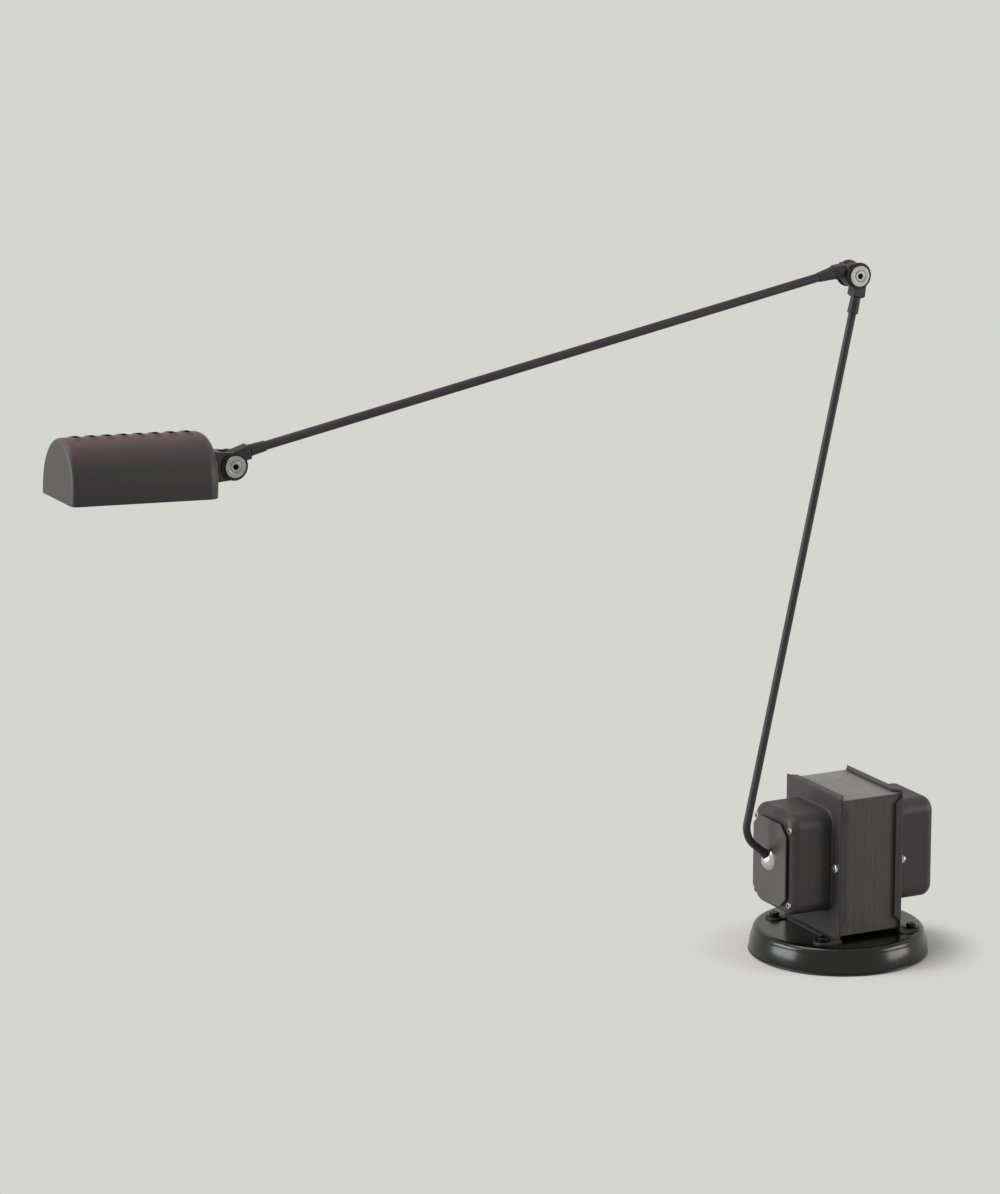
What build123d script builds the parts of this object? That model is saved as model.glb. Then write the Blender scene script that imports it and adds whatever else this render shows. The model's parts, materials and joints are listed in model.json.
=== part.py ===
"""Counterweight desk lamp: a low-voltage lamp whose painted transformer stands on a round
base disc and balances two thin arms and an arched head.

Millimetres, +Z up. The origin is the centre of the base disc's underside. X runs along the
transformer, from the arm socket on its -X bell to the cord entry on its +X bell, and the
arms move in the XZ plane when the swivel stands at zero.
"""
from build123d import *
from math import acos, atan2, cos, radians, sin, sqrt
import os

# ---------------------------------------------------------------- base disc
disc_d = 114.4            # base disc at its top
disc_h = 17.5             # table to top face
disc_edge_r = 4.0         # rounding of the top edge
disc_wall = 1.6           # sheet of the disc's cover
disc_flare = 1.8          # the side slants out by this much towards the foot
pad_t = 1.6               # rubber pad under the disc
pad_proud = 0.6           # the pad stands this far below the cover's edge
pad_inset = 2.0           # the pad's edge lies this far inside the cover's wall
ballast_gap = 0.3         # between the iron ballast and the cover's wall

# ---------------------------------------------------------------- transformer
core_mid_x = 3.2          # the transformer stands slightly behind the disc's centre
core_len = 45.0           # thickness of the lamination stack, along X
side_leg_w = 10.1         # outer legs of the laminations, along Y
core_h = 91.0             # height of the laminations
yoke_h = 16.5             # iron above and below the windows
core_lift = 2.7           # from the disc's top to the lowest lamination edge
window_w = 10.6           # winding window beside the centre leg
leg_w = 24.0              # centre leg
bobbin_wall = 1.2
bobbin_cheek = 1.5        # end flanges of the bobbin, and the web between its windings
bobbin_gap = 0.3          # between the bobbin and the iron
winding_t = 8.6           # build of the copper on the bobbin
primary_share = 0.62      # part of the bobbin's height that the primary fills

# ---------------------------------------------------------------- end bells
sheet_t = 1.2             # sheet steel of both bells
lip_gap = 0.9             # between the folded side lips and the laminations
top_lip_gap = 1.0         # between the top lip and the laminations
lip_depth = 5.5           # how far the lips reach over the laminations
lip_chamfer = 4.5         # slanted ends of the lips
top_lip_relief = 1.5      # from the flange's corner to the top lip
side_lip_top_relief = 4.0
side_lip_foot_relief = 7.5
bell_side_room = 13.3     # the drawn bell is wider than the centre leg by this, each side
bell_top_room = 4.75      # and higher than the windows by this, above and below
bell_rise = 2.7           # the bell's middle lies this far above the core's middle
bell_depth = 31.3         # from the flange's inner face to the bell's face
bell_corner_r = 9.5       # corners seen from the end
bell_face_r = 6.0         # rounding round the bell's face
bell_root_r = 1.2         # drawing radius at the flange
foot_strip = 4.0          # outward fold along the flange's foot
foot_reach = 9.6          # flange face to the foot screws
foot_edge = 3.8           # a foot screw's axis to the flange's side
foot_tab_r = 6.2

# ---------------------------------------------------------------- fasteners
clearance_hole = 0.25     # a screw's hole is wider than its shank by this much, radially
foot_screw_d = 3.5
foot_screw_head_d = 6.6
foot_screw_head_h = 2.1
foot_screw_len = 10.0
washer_d = 10.0
washer_t = 0.8
bolt_d = 3.6              # through bolts that clamp both bells on the laminations
bolt_edge = 2.9           # bolt axis to the laminations' side
bolt_head_d = 6.0
bolt_head_h = 1.8
nut_across = 6.0
nut_t = 2.4
bolt_end = 1.8            # thread showing beyond the nut
face_screw_d = 2.4        # small screws beside the socket plate's cut corners
face_screw_head_d = 4.4
face_screw_head_h = 1.0
face_screw_len = 5.0
face_screw_out = 0.2      # beyond the plate's sides
face_screw_in = 2.7       # below the plate's top and above its bottom
face_dimple = 0.7         # flat dimple that seats each of those screws
recess_l = 0.55           # cross recess, as a share of the head's diameter
recess_w = 0.9
recess_depth = 1.0

# ---------------------------------------------------------------- arm socket
plate_w = 41.4            # octagonal plate on the -X bell, along Y
plate_h = 55.4
plate_drop = 0.9          # the plate's middle lies this far below the bell's
plate_t = 2.5             # bell face to plate face
plate_rim_t = 0.7         # the plate's rim stands off the bell by the rest
plate_rim = 2.4           # width of that undercut
plate_cut_y = 7.7         # cut corners, along Y
plate_cut_z = 6.7
plate_edge = 0.3
backing_w = 30.0          # stiffener inside the bell
backing_h = 40.0
backing_t = 2.0
dome_d = 14.0             # domed socket that takes the arm's end
dome_h = 4.6
dome_drop = 2.5           # the dome's centre lies this far below the swivel axis
socket_d = 8.0            # inclined barrel of the socket
socket_out = 2.6          # barrel's length outside the plate, along its axis
socket_in = 9.0           # and inside
socket_screw_d = 1.6
socket_screw_len = 6.7
socket_screw_head_d = 3.0
socket_screw_head_h = 1.1
socket_screw_dy = 11.4
socket_screw_drop = 2.0   # below the dome's centre
bush_wall = 0.75
swivel_rise = 2.9         # swivel axis above the plate's middle, where it crosses its face
swivel_dip = 40.0         # degrees below the horizontal, pointing into the bell

# ---------------------------------------------------------------- running clearances
run_gap = 0.05            # radial, shaft in bush
slide_gap = 0.2           # between flat faces that slide
seat_gap = 0.02           # radial, pieces fitted together for good

# ---------------------------------------------------------------- arms
lower_tube_d = 5.0
upper_tube_d = 5.5
tube_wall = 0.8
lead_d = 2.4              # insulated low-voltage lead inside each arm
swivel_reach = 24.3       # from the plate to the corner of the lower arm's bend
bend_r = 16.0
lower_run = 368.8         # bend corner to the elbow
lower_lean = 12.5         # degrees from the vertical
upper_run = 440.6         # elbow pivot to head pivot
upper_droop = 10.74       # degrees below the horizontal
arm_offset = 5.0          # each tube passes its pivots at this distance
tube_stop = 9.0           # a tube ends this far short of its pivot
tube_tail = 13.5          # the lower arm's journal beyond the plate's face
collar_d = 6.4            # collar that stops the lower arm on its socket
collar_len = 2.4
collar_gap = 0.3          # round the collar, in the dome
clip_d = 8.0
clip_t = 1.0

# ---------------------------------------------------------------- pivots
hub_d = 16.2              # fork barrel
eye_d = 15.6              # knuckle's eye between the cheeks
eye_t = 8.0
cheek_t = 2.1
neck_h = 8.6              # knuckle's neck, and the fork's neck at the barrel
neck_reach = 13.9         # pivot to the end of a neck
neck_chamfer = 1.2
fork_neck_d = 10.2        # the fork's neck is trimmed round to this
elbow_slot_r = 9.8        # room round the eye inside the elbow fork
head_slot_r = 12.0        # the same inside the head's bracket
pin_d = 4.0
hub_washer_d = 17.0       # friction washer, a little wider than the barrel
hub_washer_t = 0.9
cap_d = 13.4              # turned discs on the ends of both pins
cap_t = 1.3
cap_hole_d = 3.5
cap_seat = 0.5            # the pin's end sits this deep in its cap
cap_groove_d = 7.4
cap_groove_w = 0.7
cap_groove_depth = 0.25
ferrule_len = 10.5
lower_ferrule_d = 6.4     # at the knuckle
lower_ferrule_far_d = 7.1
upper_ferrule_d = 7.4     # at the knuckle
upper_ferrule_far_d = 6.5
ferrule_edge = 0.3
cone_tip_d = 6.2          # slim end of the elbow fork's conical neck
cone_len = 11.5

# ---------------------------------------------------------------- lamp head
head_rise = 2.5           # degrees: the head's front stands a little higher than its rear
head_len = 95.5
head_w = 49.5
head_back = 15.5          # head pivot to the shell's rear face
head_crown = 21.3         # crown above the pivot
head_side = 6.7           # straight lower part of the side walls
head_arch = 30.0          # height of the elliptic arch above it
head_wall = 1.5
head_front_r = 3.0
head_rear_r = 8.0
louvre_count = 8
louvre_first = 13.5       # rear face to the first louvre's centre
louvre_pitch = 10.14
louvre_len = 6.6          # along the head
louvre_w = 12.4           # across the crown
louvre_proud = 0.7
louvre_round = 0.6
louvre_slot = 4.0
louvre_slot_w = 9.0       # length of the slot, across the crown
bracket_root_h = 19.4
bracket_screw_d = 3.0
bracket_screw_pitch = 10.0
bracket_screw_head_d = 5.4
bracket_screw_head_h = 1.6
bracket_screw_bite = 3.0  # length of thread in the bracket's web

# ---------------------------------------------------------------- optics
reflector_t = 0.8
reflector_lift = 4.0      # reflector's frame above the shell's lower edge
reflector_gap = 0.1       # between that frame and the shell
trough_w = 38.0
trough_h = 23.0
trough_end_gap = 5.0      # between the trough's ends and the shell
trough_end_r = 4.0
holder_l = 12.0
holder_w = 14.0
holder_h = 9.0
bulb_d = 11.0
bulb_len = 34.0           # glass body
pinch_l = 6.0
pinch_w = 9.0
pinch_t = 3.2
glass_t = 1.0
bulb_z = 0.0              # bulb's axis above the pivot
contact_pitch = 6.35
contact_d = 1.0
contact_depth = 6.0
holder_screw_d = 2.0
holder_screw_pitch = 5.6
holder_screw_head_d = 3.6
holder_screw_head_h = 1.1

# ---------------------------------------------------------------- rear bell fittings
switch_w = 13.0           # rocker switch, along Y
switch_h = 19.0
switch_rise = 15.6        # above the bell's middle
switch_depth = 16.0       # body behind the bell's face
switch_rim = 1.6          # bezel outside the cut-out
switch_rim_t = 1.5
switch_wall = 1.4
rocker_gap = 0.3
rocker_tilt = 8.0         # degrees either side of level; the lamp is shown switched off
rocker_proud = 3.0
rocker_axle_d = 2.0
gland_drop = 18.4         # below the bell's middle
gland_d = 12.0
gland_out = 7.0
gland_thread_d = 9.0
gland_in = 6.0
gland_bore_d = 6.5
gland_nut_across = 13.0
gland_nut_t = 2.5
terminal_l = 10.0         # terminal block for the cord's cores, inside the rear bell
terminal_w = 22.0
terminal_h = 8.0
terminal_drop = 4.4       # below the bell's middle
terminal_hole_d = 2.6
terminal_screw_pitch = 10.0

# ---------------------------------------------------------------- derived places
UP = (Align.CENTER, Align.CENTER, Align.MIN)
disc_r = disc_d / 2
cavity_r = disc_r - disc_wall
core_w = leg_w + 2 * window_w + 2 * side_leg_w
window_h = core_h - 2 * yoke_h
core_bottom = disc_h + core_lift
core_mid_z = core_bottom + core_h / 2
flange_w = core_w + 2 * (lip_gap + sheet_t)
flange_top = core_bottom + core_h + top_lip_gap + sheet_t
foot_pitch = flange_w - 2 * foot_edge
bell_w = leg_w + 2 * bell_side_room
bell_h = window_h + 2 * bell_top_room
bell_mid_z = core_mid_z + bell_rise
bolt_pitch = core_w - 2 * bolt_edge
plate_mid_z = bell_mid_z - plate_drop
swivel_z = plate_mid_z + swivel_rise
switch_z = bell_mid_z + switch_rise
gland_z = bell_mid_z - gland_drop
terminal_z = bell_mid_z - terminal_drop
face_screw_dy = plate_w + 2 * face_screw_out
face_screw_dz = plate_h - 2 * face_screw_in
left_face_x = core_mid_x - core_len / 2 - bell_depth
right_face_x = core_mid_x + core_len / 2 + bell_depth
plate_face_x = left_face_x - plate_t
bobbin_h = window_h - 2 * bobbin_gap
eye_half = eye_t / 2
slot_half = eye_half + slide_gap
hub_half = slot_half + cheek_t
cap_inner = hub_half + hub_washer_t
cap_outer = cap_inner + cap_t
neck_low = arm_offset - neck_h / 2
neck_high = arm_offset + neck_h / 2
head_bottom = head_crown - head_arch - head_side
reflector_z = head_bottom + reflector_lift
trough_front = -head_back - head_len + head_wall + trough_end_gap
trough_rear = -head_back - head_wall - trough_end_gap
holder_rear = trough_rear - reflector_t
holder_face = holder_rear - holder_l

swivel_dir = Vector(cos(radians(swivel_dip)), 0, -sin(radians(swivel_dip)))
swivel_at = Vector(plate_face_x, 0, swivel_z)
lower_dir = Vector(sin(radians(lower_lean)), 0, cos(radians(lower_lean)))
lower_side = Vector(lower_dir.Z, 0, -lower_dir.X)
bend_at = swivel_at - swivel_dir * swivel_reach
elbow_at = bend_at + lower_dir * lower_run - lower_side * arm_offset
upper_dir = Vector(-cos(radians(upper_droop)), 0, -sin(radians(upper_droop)))
upper_side = Vector(upper_dir.Z, 0, -upper_dir.X)
head_at = elbow_at + upper_dir * upper_run


# ---------------------------------------------------------------- helpers
def across(part):
    """Turn a piece built along +Z so that it runs along +Y."""
    return Rot(-90, 0, 0) * part


def along_x(part):
    """Turn a piece built along +Z so that it runs along +X."""
    return Rot(0, 90, 0) * part


def disc_across(diameter, y_from, y_to):
    """Round disc or pin about the Y axis, between two values of Y."""
    return Pos(0, y_from, 0) * across(Cylinder(diameter / 2, y_to - y_from, align=UP))


def plane_along(origin, direction):
    """Plane at origin whose normal is the given direction in the XZ plane."""
    return Plane(origin=origin, x_dir=(0, 1, 0), z_dir=direction)


def sleeve(origin, direction, start, end, outer_d, inner_d):
    """Round sleeve about an axis, between two distances along it."""
    body = Cylinder(outer_d / 2, end - start, align=UP)
    if inner_d:
        body -= Cylinder(inner_d / 2, end - start, align=UP)
    return plane_along(origin + direction * start, direction) * body


def screw(shank_d, shank_len, head_d, head_h):
    """Pan-head screw with a cross recess: head above z = 0, shank below."""
    head = Cylinder(head_d / 2, head_h, align=UP)
    head = fillet(head.edges().group_by(Axis.Z)[-1], head_h * 0.45)
    slot = Box(head_d * recess_l, recess_w, recess_depth, align=UP)
    recess = Pos(0, 0, head_h - recess_depth) * (slot + Rot(0, 0, 90) * slot)
    return head + Pos(0, 0, -shank_len) * Cylinder(shank_d / 2, shank_len, align=UP) - recess


def pivot_frame(at, direction, side):
    """Location whose +X runs along an arm, +Y along its offset side and origin at a pivot."""
    return Plane(origin=at, x_dir=direction, z_dir=direction.cross(side)).location


def arm_profile(hub_r, reach, low, high):
    """Side view of a hub and its neck: a circle, and a block tangent to it at the top."""
    span = sqrt(reach ** 2 + high ** 2)
    touch = atan2(high, reach) + acos(hub_r / span)
    neck = Polygon(
        (0, 0), (hub_r * cos(touch), hub_r * sin(touch)), (reach, high), (reach, low), (0, low),
        align=None)
    return Circle(hub_r) + neck


def placed(parts):
    """Several separate solids of one node."""
    return Compound(children=[Solid(p.solids()[0].wrapped) for p in parts])


# ---------------------------------------------------------------- base
def foot_positions():
    """Foot screw positions, two per bell."""
    reach = core_len / 2 + sheet_t + foot_reach
    return [(core_mid_x + sx * reach, sy * foot_pitch / 2) for sx in (-1, 1) for sy in (-1, 1)]


def base_cover():
    """Pressed cover of the base disc: slanted side, rounded top edge, screw holes."""
    cover = Pos(0, 0, pad_proud) * Cone(disc_r + disc_flare, disc_r, disc_h - pad_proud, align=UP)
    cover = fillet(cover.edges().group_by(Axis.Z)[-1], disc_edge_r)
    cover -= Cylinder(cavity_r, disc_h - disc_wall, align=UP)
    for x, y in foot_positions():
        cover -= Pos(x, y, 0) * Cylinder(foot_screw_d / 2 + clearance_hole, disc_h, align=UP)
    return cover


def base_ballast():
    """Cast-iron disc that fills the cover and takes the foot screws."""
    height = disc_h - disc_wall - pad_t
    disc = Pos(0, 0, pad_t) * Cylinder(cavity_r - ballast_gap, height, align=UP)
    for x, y in foot_positions():
        disc -= Pos(x, y, pad_t) * Cylinder(foot_screw_d / 2 + seat_gap, height, align=UP)
    return disc


def base_pad():
    """Rubber pad that the lamp stands on."""
    pad = Cylinder(cavity_r - pad_inset, pad_t, align=UP)
    return chamfer(pad.edges().group_by(Axis.Z)[0], pad_proud * 0.6)


def foot_fasteners():
    """Washers and screws of the four feet."""
    top = disc_h + sheet_t
    hole = Cylinder(foot_screw_d / 2 + clearance_hole, washer_t, align=UP)
    washer = Cylinder(washer_d / 2, washer_t, align=UP) - hole
    one = screw(foot_screw_d, foot_screw_len, foot_screw_head_d, foot_screw_head_h)
    washers = [Pos(x, y, top) * washer for x, y in foot_positions()]
    screws = [Pos(x, y, top + washer_t) * Rot(0, 0, 25) * one for x, y in foot_positions()]
    return placed(washers), placed(screws)


# ---------------------------------------------------------------- transformer
def core_stack():
    """Lamination stack with its two winding windows and the holes of the through bolts."""
    core = Box(core_len, core_w, core_h)
    for side in (-1, 1):
        core -= Pos(0, side * (leg_w + window_w) / 2, 0) * Box(core_len, window_w, window_h)
        hole = along_x(Cylinder(bolt_d / 2 + clearance_hole, core_len))
        core -= Pos(0, side * bolt_pitch / 2, 0) * hole
    return Pos(core_mid_x, 0, core_mid_z) * core


def around_leg(grow, height):
    """Block round the centre leg, larger than it by grow on each side."""
    return Box(core_len + 2 * grow, leg_w + 2 * grow, height)


def bobbin():
    """Plastic bobbin on the centre leg: tube, two end cheeks and a web between windings."""
    tube = bobbin_gap + bobbin_wall
    rim = tube + winding_t * 0.9
    body = around_leg(tube, bobbin_h)
    cheek = around_leg(rim, bobbin_cheek)
    for z in (bobbin_cheek / 2 - bobbin_h / 2, web_z(), bobbin_h / 2 - bobbin_cheek / 2):
        body += Pos(0, 0, z) * cheek
    body -= around_leg(bobbin_gap, bobbin_h)
    return Pos(core_mid_x, 0, core_mid_z) * body


def web_z():
    """Height of the bobbin's web above the core's middle."""
    return (primary_share - 0.5) * bobbin_h


def winding(low, high):
    """Copper between two heights, clear of the bobbin's tube."""
    tube = bobbin_gap + bobbin_wall
    ring = around_leg(tube + winding_t * 0.86, high - low)
    ring = fillet(ring.edges().filter_by(Axis.Z), winding_t * 0.7)
    ring -= around_leg(tube, high - low)
    return Pos(core_mid_x, 0, core_mid_z + (low + high) / 2) * ring


def primary_winding():
    """Mains winding, below the web."""
    return winding(bobbin_cheek - bobbin_h / 2, web_z() - bobbin_cheek / 2)


def secondary_winding():
    """Low-voltage winding, above the web."""
    return winding(web_z() + bobbin_cheek / 2, bobbin_h / 2 - bobbin_cheek)


def bell_form(inset):
    """Drawn bell as a solid along +X, smaller than its outside by inset."""
    radius = bell_corner_r - inset
    outline = RectangleRounded(bell_w - 2 * inset, bell_h - 2 * inset, radius)
    block = extrude(Plane.YZ * Pos(0, bell_mid_z) * outline, bell_depth - inset)
    return fillet(block.edges().group_by(Axis.X)[-1], bell_face_r - inset)


def foot_strip_form():
    """Outward fold at the flange's foot, with a round tab for each screw."""
    edge = flange_w / 2 - side_lip_top_relief / 2
    reach = sheet_t + foot_reach
    strip = Pos((sheet_t + foot_strip) / 2, 0) * Rectangle(sheet_t + foot_strip, 2 * edge)
    for side in (-1, 1):
        tab = Pos(reach / 2, 0) * Rectangle(reach, 2 * foot_tab_r) + Pos(reach, 0) * Circle(foot_tab_r)
        hole = Pos(reach, 0) * Circle(foot_screw_d / 2 + clearance_hole)
        strip += Pos(0, side * foot_pitch / 2) * tab
        strip -= Pos(0, side * foot_pitch / 2) * hole
    return Pos(0, 0, disc_h) * extrude(strip, sheet_t)


def flange_lips():
    """Top and side lips, folded inwards over the laminations."""
    free_x = sheet_t - lip_depth
    half = flange_w / 2
    top_end = half - top_lip_relief
    top = Polygon(
        (sheet_t, top_end), (sheet_t, -top_end), (free_x, lip_chamfer - top_end),
        (free_x, top_end - lip_chamfer), align=None)
    lips = Pos(0, 0, flange_top - sheet_t) * extrude(top, sheet_t, dir=(0, 0, 1))
    high = flange_top - side_lip_top_relief
    low = disc_h + side_lip_foot_relief
    side = Polygon(
        (sheet_t, low), (sheet_t, high), (free_x, high - lip_chamfer), (free_x, low + lip_chamfer),
        align=None)
    for y in (-half, half - sheet_t):
        lips += Pos(0, y, 0) * extrude(Plane.XZ * side, sheet_t, dir=(0, 1, 0))
    return lips


def end_bell():
    """One end bell, built outwards along +X from the end of the laminations."""
    low, high = disc_h, flange_top
    flange = Pos(sheet_t / 2, 0, (low + high) / 2) * Box(sheet_t, flange_w, high - low)
    drawn = flange + bell_form(0)
    root = drawn.edges().filter_by_position(Axis.X, sheet_t - 0.01, sheet_t + 0.01)
    inner = [e for e in root if abs(e.center().Y) < bell_w / 2 + 0.1]
    inner = [e for e in inner if abs(e.center().Z - bell_mid_z) < bell_h / 2 + 0.1]
    drawn = fillet(inner, bell_root_r)
    body = drawn + flange_lips()
    outer = body.edges().filter_by_position(Axis.X, sheet_t - 0.01, sheet_t + 0.01)
    folds = [e for e in outer if e.center().Z > high - 0.01]
    folds += [e for e in outer if abs(e.center().Y) > flange_w / 2 - 0.01]
    body = fillet(folds, sheet_t * 0.95)
    body += foot_strip_form()
    body -= bell_form(sheet_t)
    hole = along_x(Cylinder(bolt_d / 2 + clearance_hole, 4 * sheet_t))
    cuts = [Pos(0, side * bolt_pitch / 2, core_mid_z) * hole for side in (-1, 1)]
    return Pos(core_mid_x + core_len / 2, 0, 0) * (body - cuts)


def face_screw_places():
    """Screws beside the plate's cut corners, as (y, z)."""
    half_y, half_z = face_screw_dy / 2, face_screw_dz / 2
    return [(sy * half_y, plate_mid_z + sz * half_z) for sy in (-1, 1) for sz in (-1, 1)]


def left_bell():
    """Bell on the arm's side, pierced for the inclined socket and the screws beside the plate."""
    body = mirror(end_bell(), about=Plane.YZ.offset(core_mid_x))
    hole = along_x(Cylinder(face_screw_d / 2 + seat_gap, 4 * sheet_t))
    seat = Pos(-bell_face_r, 0, 0) * along_x(
        Cylinder(face_screw_head_d / 2 + seat_gap, bell_face_r, align=UP))
    seats = [Pos(left_face_x + face_dimple, y, z) * seat for y, z in face_screw_places()]
    holes = [Pos(left_face_x + face_dimple, y, z) * hole for y, z in face_screw_places()]
    return cut_for_socket(body - seats - holes)


def right_bell():
    """Rear bell, pierced for the switch and the cable gland."""
    body = end_bell()
    body -= Pos(right_face_x, 0, switch_z) * Box(4 * sheet_t, switch_w, switch_h)
    hole = along_x(Cylinder(gland_thread_d / 2 + seat_gap, 4 * sheet_t))
    return body - Pos(right_face_x, 0, gland_z) * hole


def face_screws():
    """The four screws beside the plate's cut corners."""
    one = screw(face_screw_d, face_screw_len, face_screw_head_d, face_screw_head_h)
    x = left_face_x + face_dimple
    return placed([Pos(x, y, z) * Rot(0, -90, 0) * one for y, z in face_screw_places()])


def bolt_fasteners():
    """Through bolts with heads on the arm's side, and their nuts on the rear flange."""
    grip = core_len + 2 * sheet_t
    one = screw(bolt_d, grip + nut_t + bolt_end, bolt_head_d, bolt_head_h)
    nut = extrude(RegularPolygon(nut_across / 2, 6, major_radius=False), nut_t)
    nut -= Cylinder(bolt_d / 2 + seat_gap, nut_t, align=UP)
    bolts, nuts = [], []
    for side in (-1, 1):
        y = side * bolt_pitch / 2
        bolts.append(Pos(core_mid_x - grip / 2, y, core_mid_z) * Rot(0, -90, 0) * one)
        nuts.append(Pos(core_mid_x + grip / 2, y, core_mid_z) * along_x(nut))
    return placed(bolts), placed(nuts)


# ---------------------------------------------------------------- arm socket
def cut_for_socket(part):
    """Clear a piece for the inclined barrel of the socket and for its two screws."""
    part -= sleeve(swivel_at, swivel_dir, -socket_out, socket_in + socket_d,
                   socket_d + 2 * seat_gap, 0)
    for side in (-1, 1):
        hole = along_x(Cylinder(socket_screw_d / 2 + seat_gap, 6 * plate_t))
        part -= Pos(plate_face_x, side * socket_screw_dy / 2, socket_screw_z()) * hole
    return part


def socket_screw_z():
    """Height of the two screws that hold the socket."""
    return swivel_z - dome_drop - socket_screw_drop


def octagon(inset):
    """Plate outline with its four corners cut off, as seen along X."""
    y, z = plate_w / 2 - inset, plate_h / 2 - inset
    cut = inset * (1 - cos(radians(45)))
    cy, cz = y - plate_cut_y + cut, z - plate_cut_z + cut
    return Polygon(
        (cy, z), (-cy, z), (-y, cz), (-y, -cz), (-cy, -z), (cy, -z), (y, -cz), (y, cz), align=None)


def socket_plate():
    """Octagonal plate on the bell, its rim standing off so that a shadow gap shows."""
    face = extrude(Plane.YZ * octagon(0), plate_rim_t)
    face = chamfer(face.edges().group_by(Axis.X)[0], plate_edge)
    back = Pos(plate_rim_t, 0, 0) * extrude(Plane.YZ * octagon(plate_rim), plate_t - plate_rim_t)
    return cut_for_socket(Pos(plate_face_x, 0, plate_mid_z) * (face + back))


def backing_plate():
    """Stiffener behind the bell's face that the socket's screws clamp."""
    x = left_face_x + sheet_t + backing_t / 2
    return cut_for_socket(Pos(x, 0, plate_mid_z) * Box(backing_t, backing_w, backing_h))


def dome_form():
    """Shallow dome on the plate's face, a cap cut from a larger ball."""
    ball_r = (dome_d ** 2 / 4 + dome_h ** 2) / (2 * dome_h)
    ball = Pos(ball_r - dome_h, 0, 0) * Sphere(ball_r)
    outside = Box(2 * ball_r, 2 * ball_r, 2 * ball_r, align=(Align.MAX, Align.CENTER, Align.CENTER))
    return Pos(plate_face_x, 0, swivel_z - dome_drop) * (ball & outside)


def swivel_socket():
    """Domed casting with the inclined barrel that holds the bush."""
    barrel = sleeve(swivel_at, swivel_dir, -socket_out, socket_in, socket_d, 0)
    body = dome_form() + barrel
    body -= sleeve(swivel_at, swivel_dir, -dome_d, socket_in + slide_gap, bush_outer_d() + 2 * seat_gap, 0)
    body -= sleeve(swivel_at, swivel_dir, -dome_d, -socket_out, collar_d + 2 * collar_gap, 0)
    for side in (-1, 1):
        hole = along_x(Cylinder(socket_screw_d / 2 + seat_gap, socket_screw_bite(), align=UP))
        x = plate_face_x - socket_screw_bite()
        body -= Pos(x, side * socket_screw_dy / 2, socket_screw_z()) * hole
    return body


def socket_screw_bite():
    """Depth that each socket screw reaches into the dome."""
    return socket_screw_len - plate_t - sheet_t - backing_t


def bush_outer_d():
    """Outside diameter of the swivel bush."""
    return lower_tube_d + 2 * run_gap + 2 * bush_wall


def swivel_bush():
    """Plastic bush in the socket's barrel."""
    return sleeve(swivel_at, swivel_dir, -socket_out, socket_in, bush_outer_d(),
                  lower_tube_d + 2 * run_gap)


def socket_screws():
    """Two screws from inside the bell into the socket."""
    one = screw(socket_screw_d, socket_screw_len, socket_screw_head_d, socket_screw_head_h)
    x = left_face_x + sheet_t + backing_t
    places = [(x, side * socket_screw_dy / 2, socket_screw_z()) for side in (-1, 1)]
    return placed([Pos(*p) * along_x(one) for p in places])


# ---------------------------------------------------------------- lower arm
def lower_route(start_inset, end_inset):
    """Centre line of the lower arm, from its journal round the bend to the elbow."""
    start = swivel_at + swivel_dir * (tube_tail - start_inset)
    end = bend_at + lower_dir * (lower_run - tube_stop - end_inset)
    return FilletPolyline(start, bend_at, end, radius=bend_r)


def tube_along(route, outer_d, inner_d):
    """Round tube or rod along a route."""
    ring = Circle(outer_d / 2)
    if inner_d:
        ring -= Circle(inner_d / 2)
    return sweep(Plane(origin=route @ 0, z_dir=route % 0) * ring, path=route)


def lower_tube():
    """Bent steel tube of the lower arm."""
    return tube_along(lower_route(0, 0), lower_tube_d, lower_tube_d - 2 * tube_wall)


def lower_lead():
    """Lead inside the lower arm."""
    return tube_along(lower_route(1, 1), lead_d, 0)


def swivel_collar():
    """Collar on the tube that rests on the socket's barrel."""
    end = -socket_out - slide_gap
    return sleeve(swivel_at, swivel_dir, end - collar_len, end, collar_d,
                  lower_tube_d + 2 * seat_gap)


def swivel_clip():
    """Retaining ring on the journal, behind the barrel."""
    start = socket_in + slide_gap
    return sleeve(swivel_at, swivel_dir, start, start + clip_t, clip_d,
                  lower_tube_d + 2 * seat_gap)


def knuckle(tube_d):
    """Eye and neck between a fork's cheeks, along +X from its pivot, tube offset to +Y."""
    body = extrude(arm_profile(eye_d / 2, neck_reach, neck_low, neck_high), eye_half, both=True)
    far = body.edges().group_by(Axis.X)[-1]
    body = chamfer(far, neck_chamfer)
    body -= Cylinder(pin_d / 2 + run_gap, 2 * eye_t)
    socket = along_x(Cylinder(tube_d / 2 + seat_gap, neck_reach, align=UP))
    return body - Pos(tube_stop, arm_offset, 0) * socket


def ferrule(at, direction, near_d, far_d, tube_d):
    """Slightly conical sleeve on a tube, seated on the end of a knuckle's neck."""
    body = Cone(near_d / 2, far_d / 2, ferrule_len, align=UP)
    body = chamfer(body.edges().group_by(Axis.Z)[-1], ferrule_edge)
    body -= Cylinder(tube_d / 2 + seat_gap, ferrule_len, align=UP)
    return plane_along(at + direction * neck_reach, direction) * body


def elbow_knuckle():
    """Knuckle on the lower arm's top end."""
    return pivot_frame(elbow_at, -lower_dir, lower_side) * knuckle(lower_tube_d)


def lower_ferrule():
    """Sleeve below the elbow knuckle."""
    return ferrule(elbow_at + lower_side * arm_offset, -lower_dir, lower_ferrule_d,
                   lower_ferrule_far_d, lower_tube_d)


# ---------------------------------------------------------------- upper arm
def upper_tube():
    """Straight steel tube between the elbow fork and the head's knuckle."""
    start = elbow_at + upper_side * arm_offset
    return sleeve(start, upper_dir, neck_reach, upper_run - tube_stop, upper_tube_d,
                  upper_tube_d - 2 * tube_wall)


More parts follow.
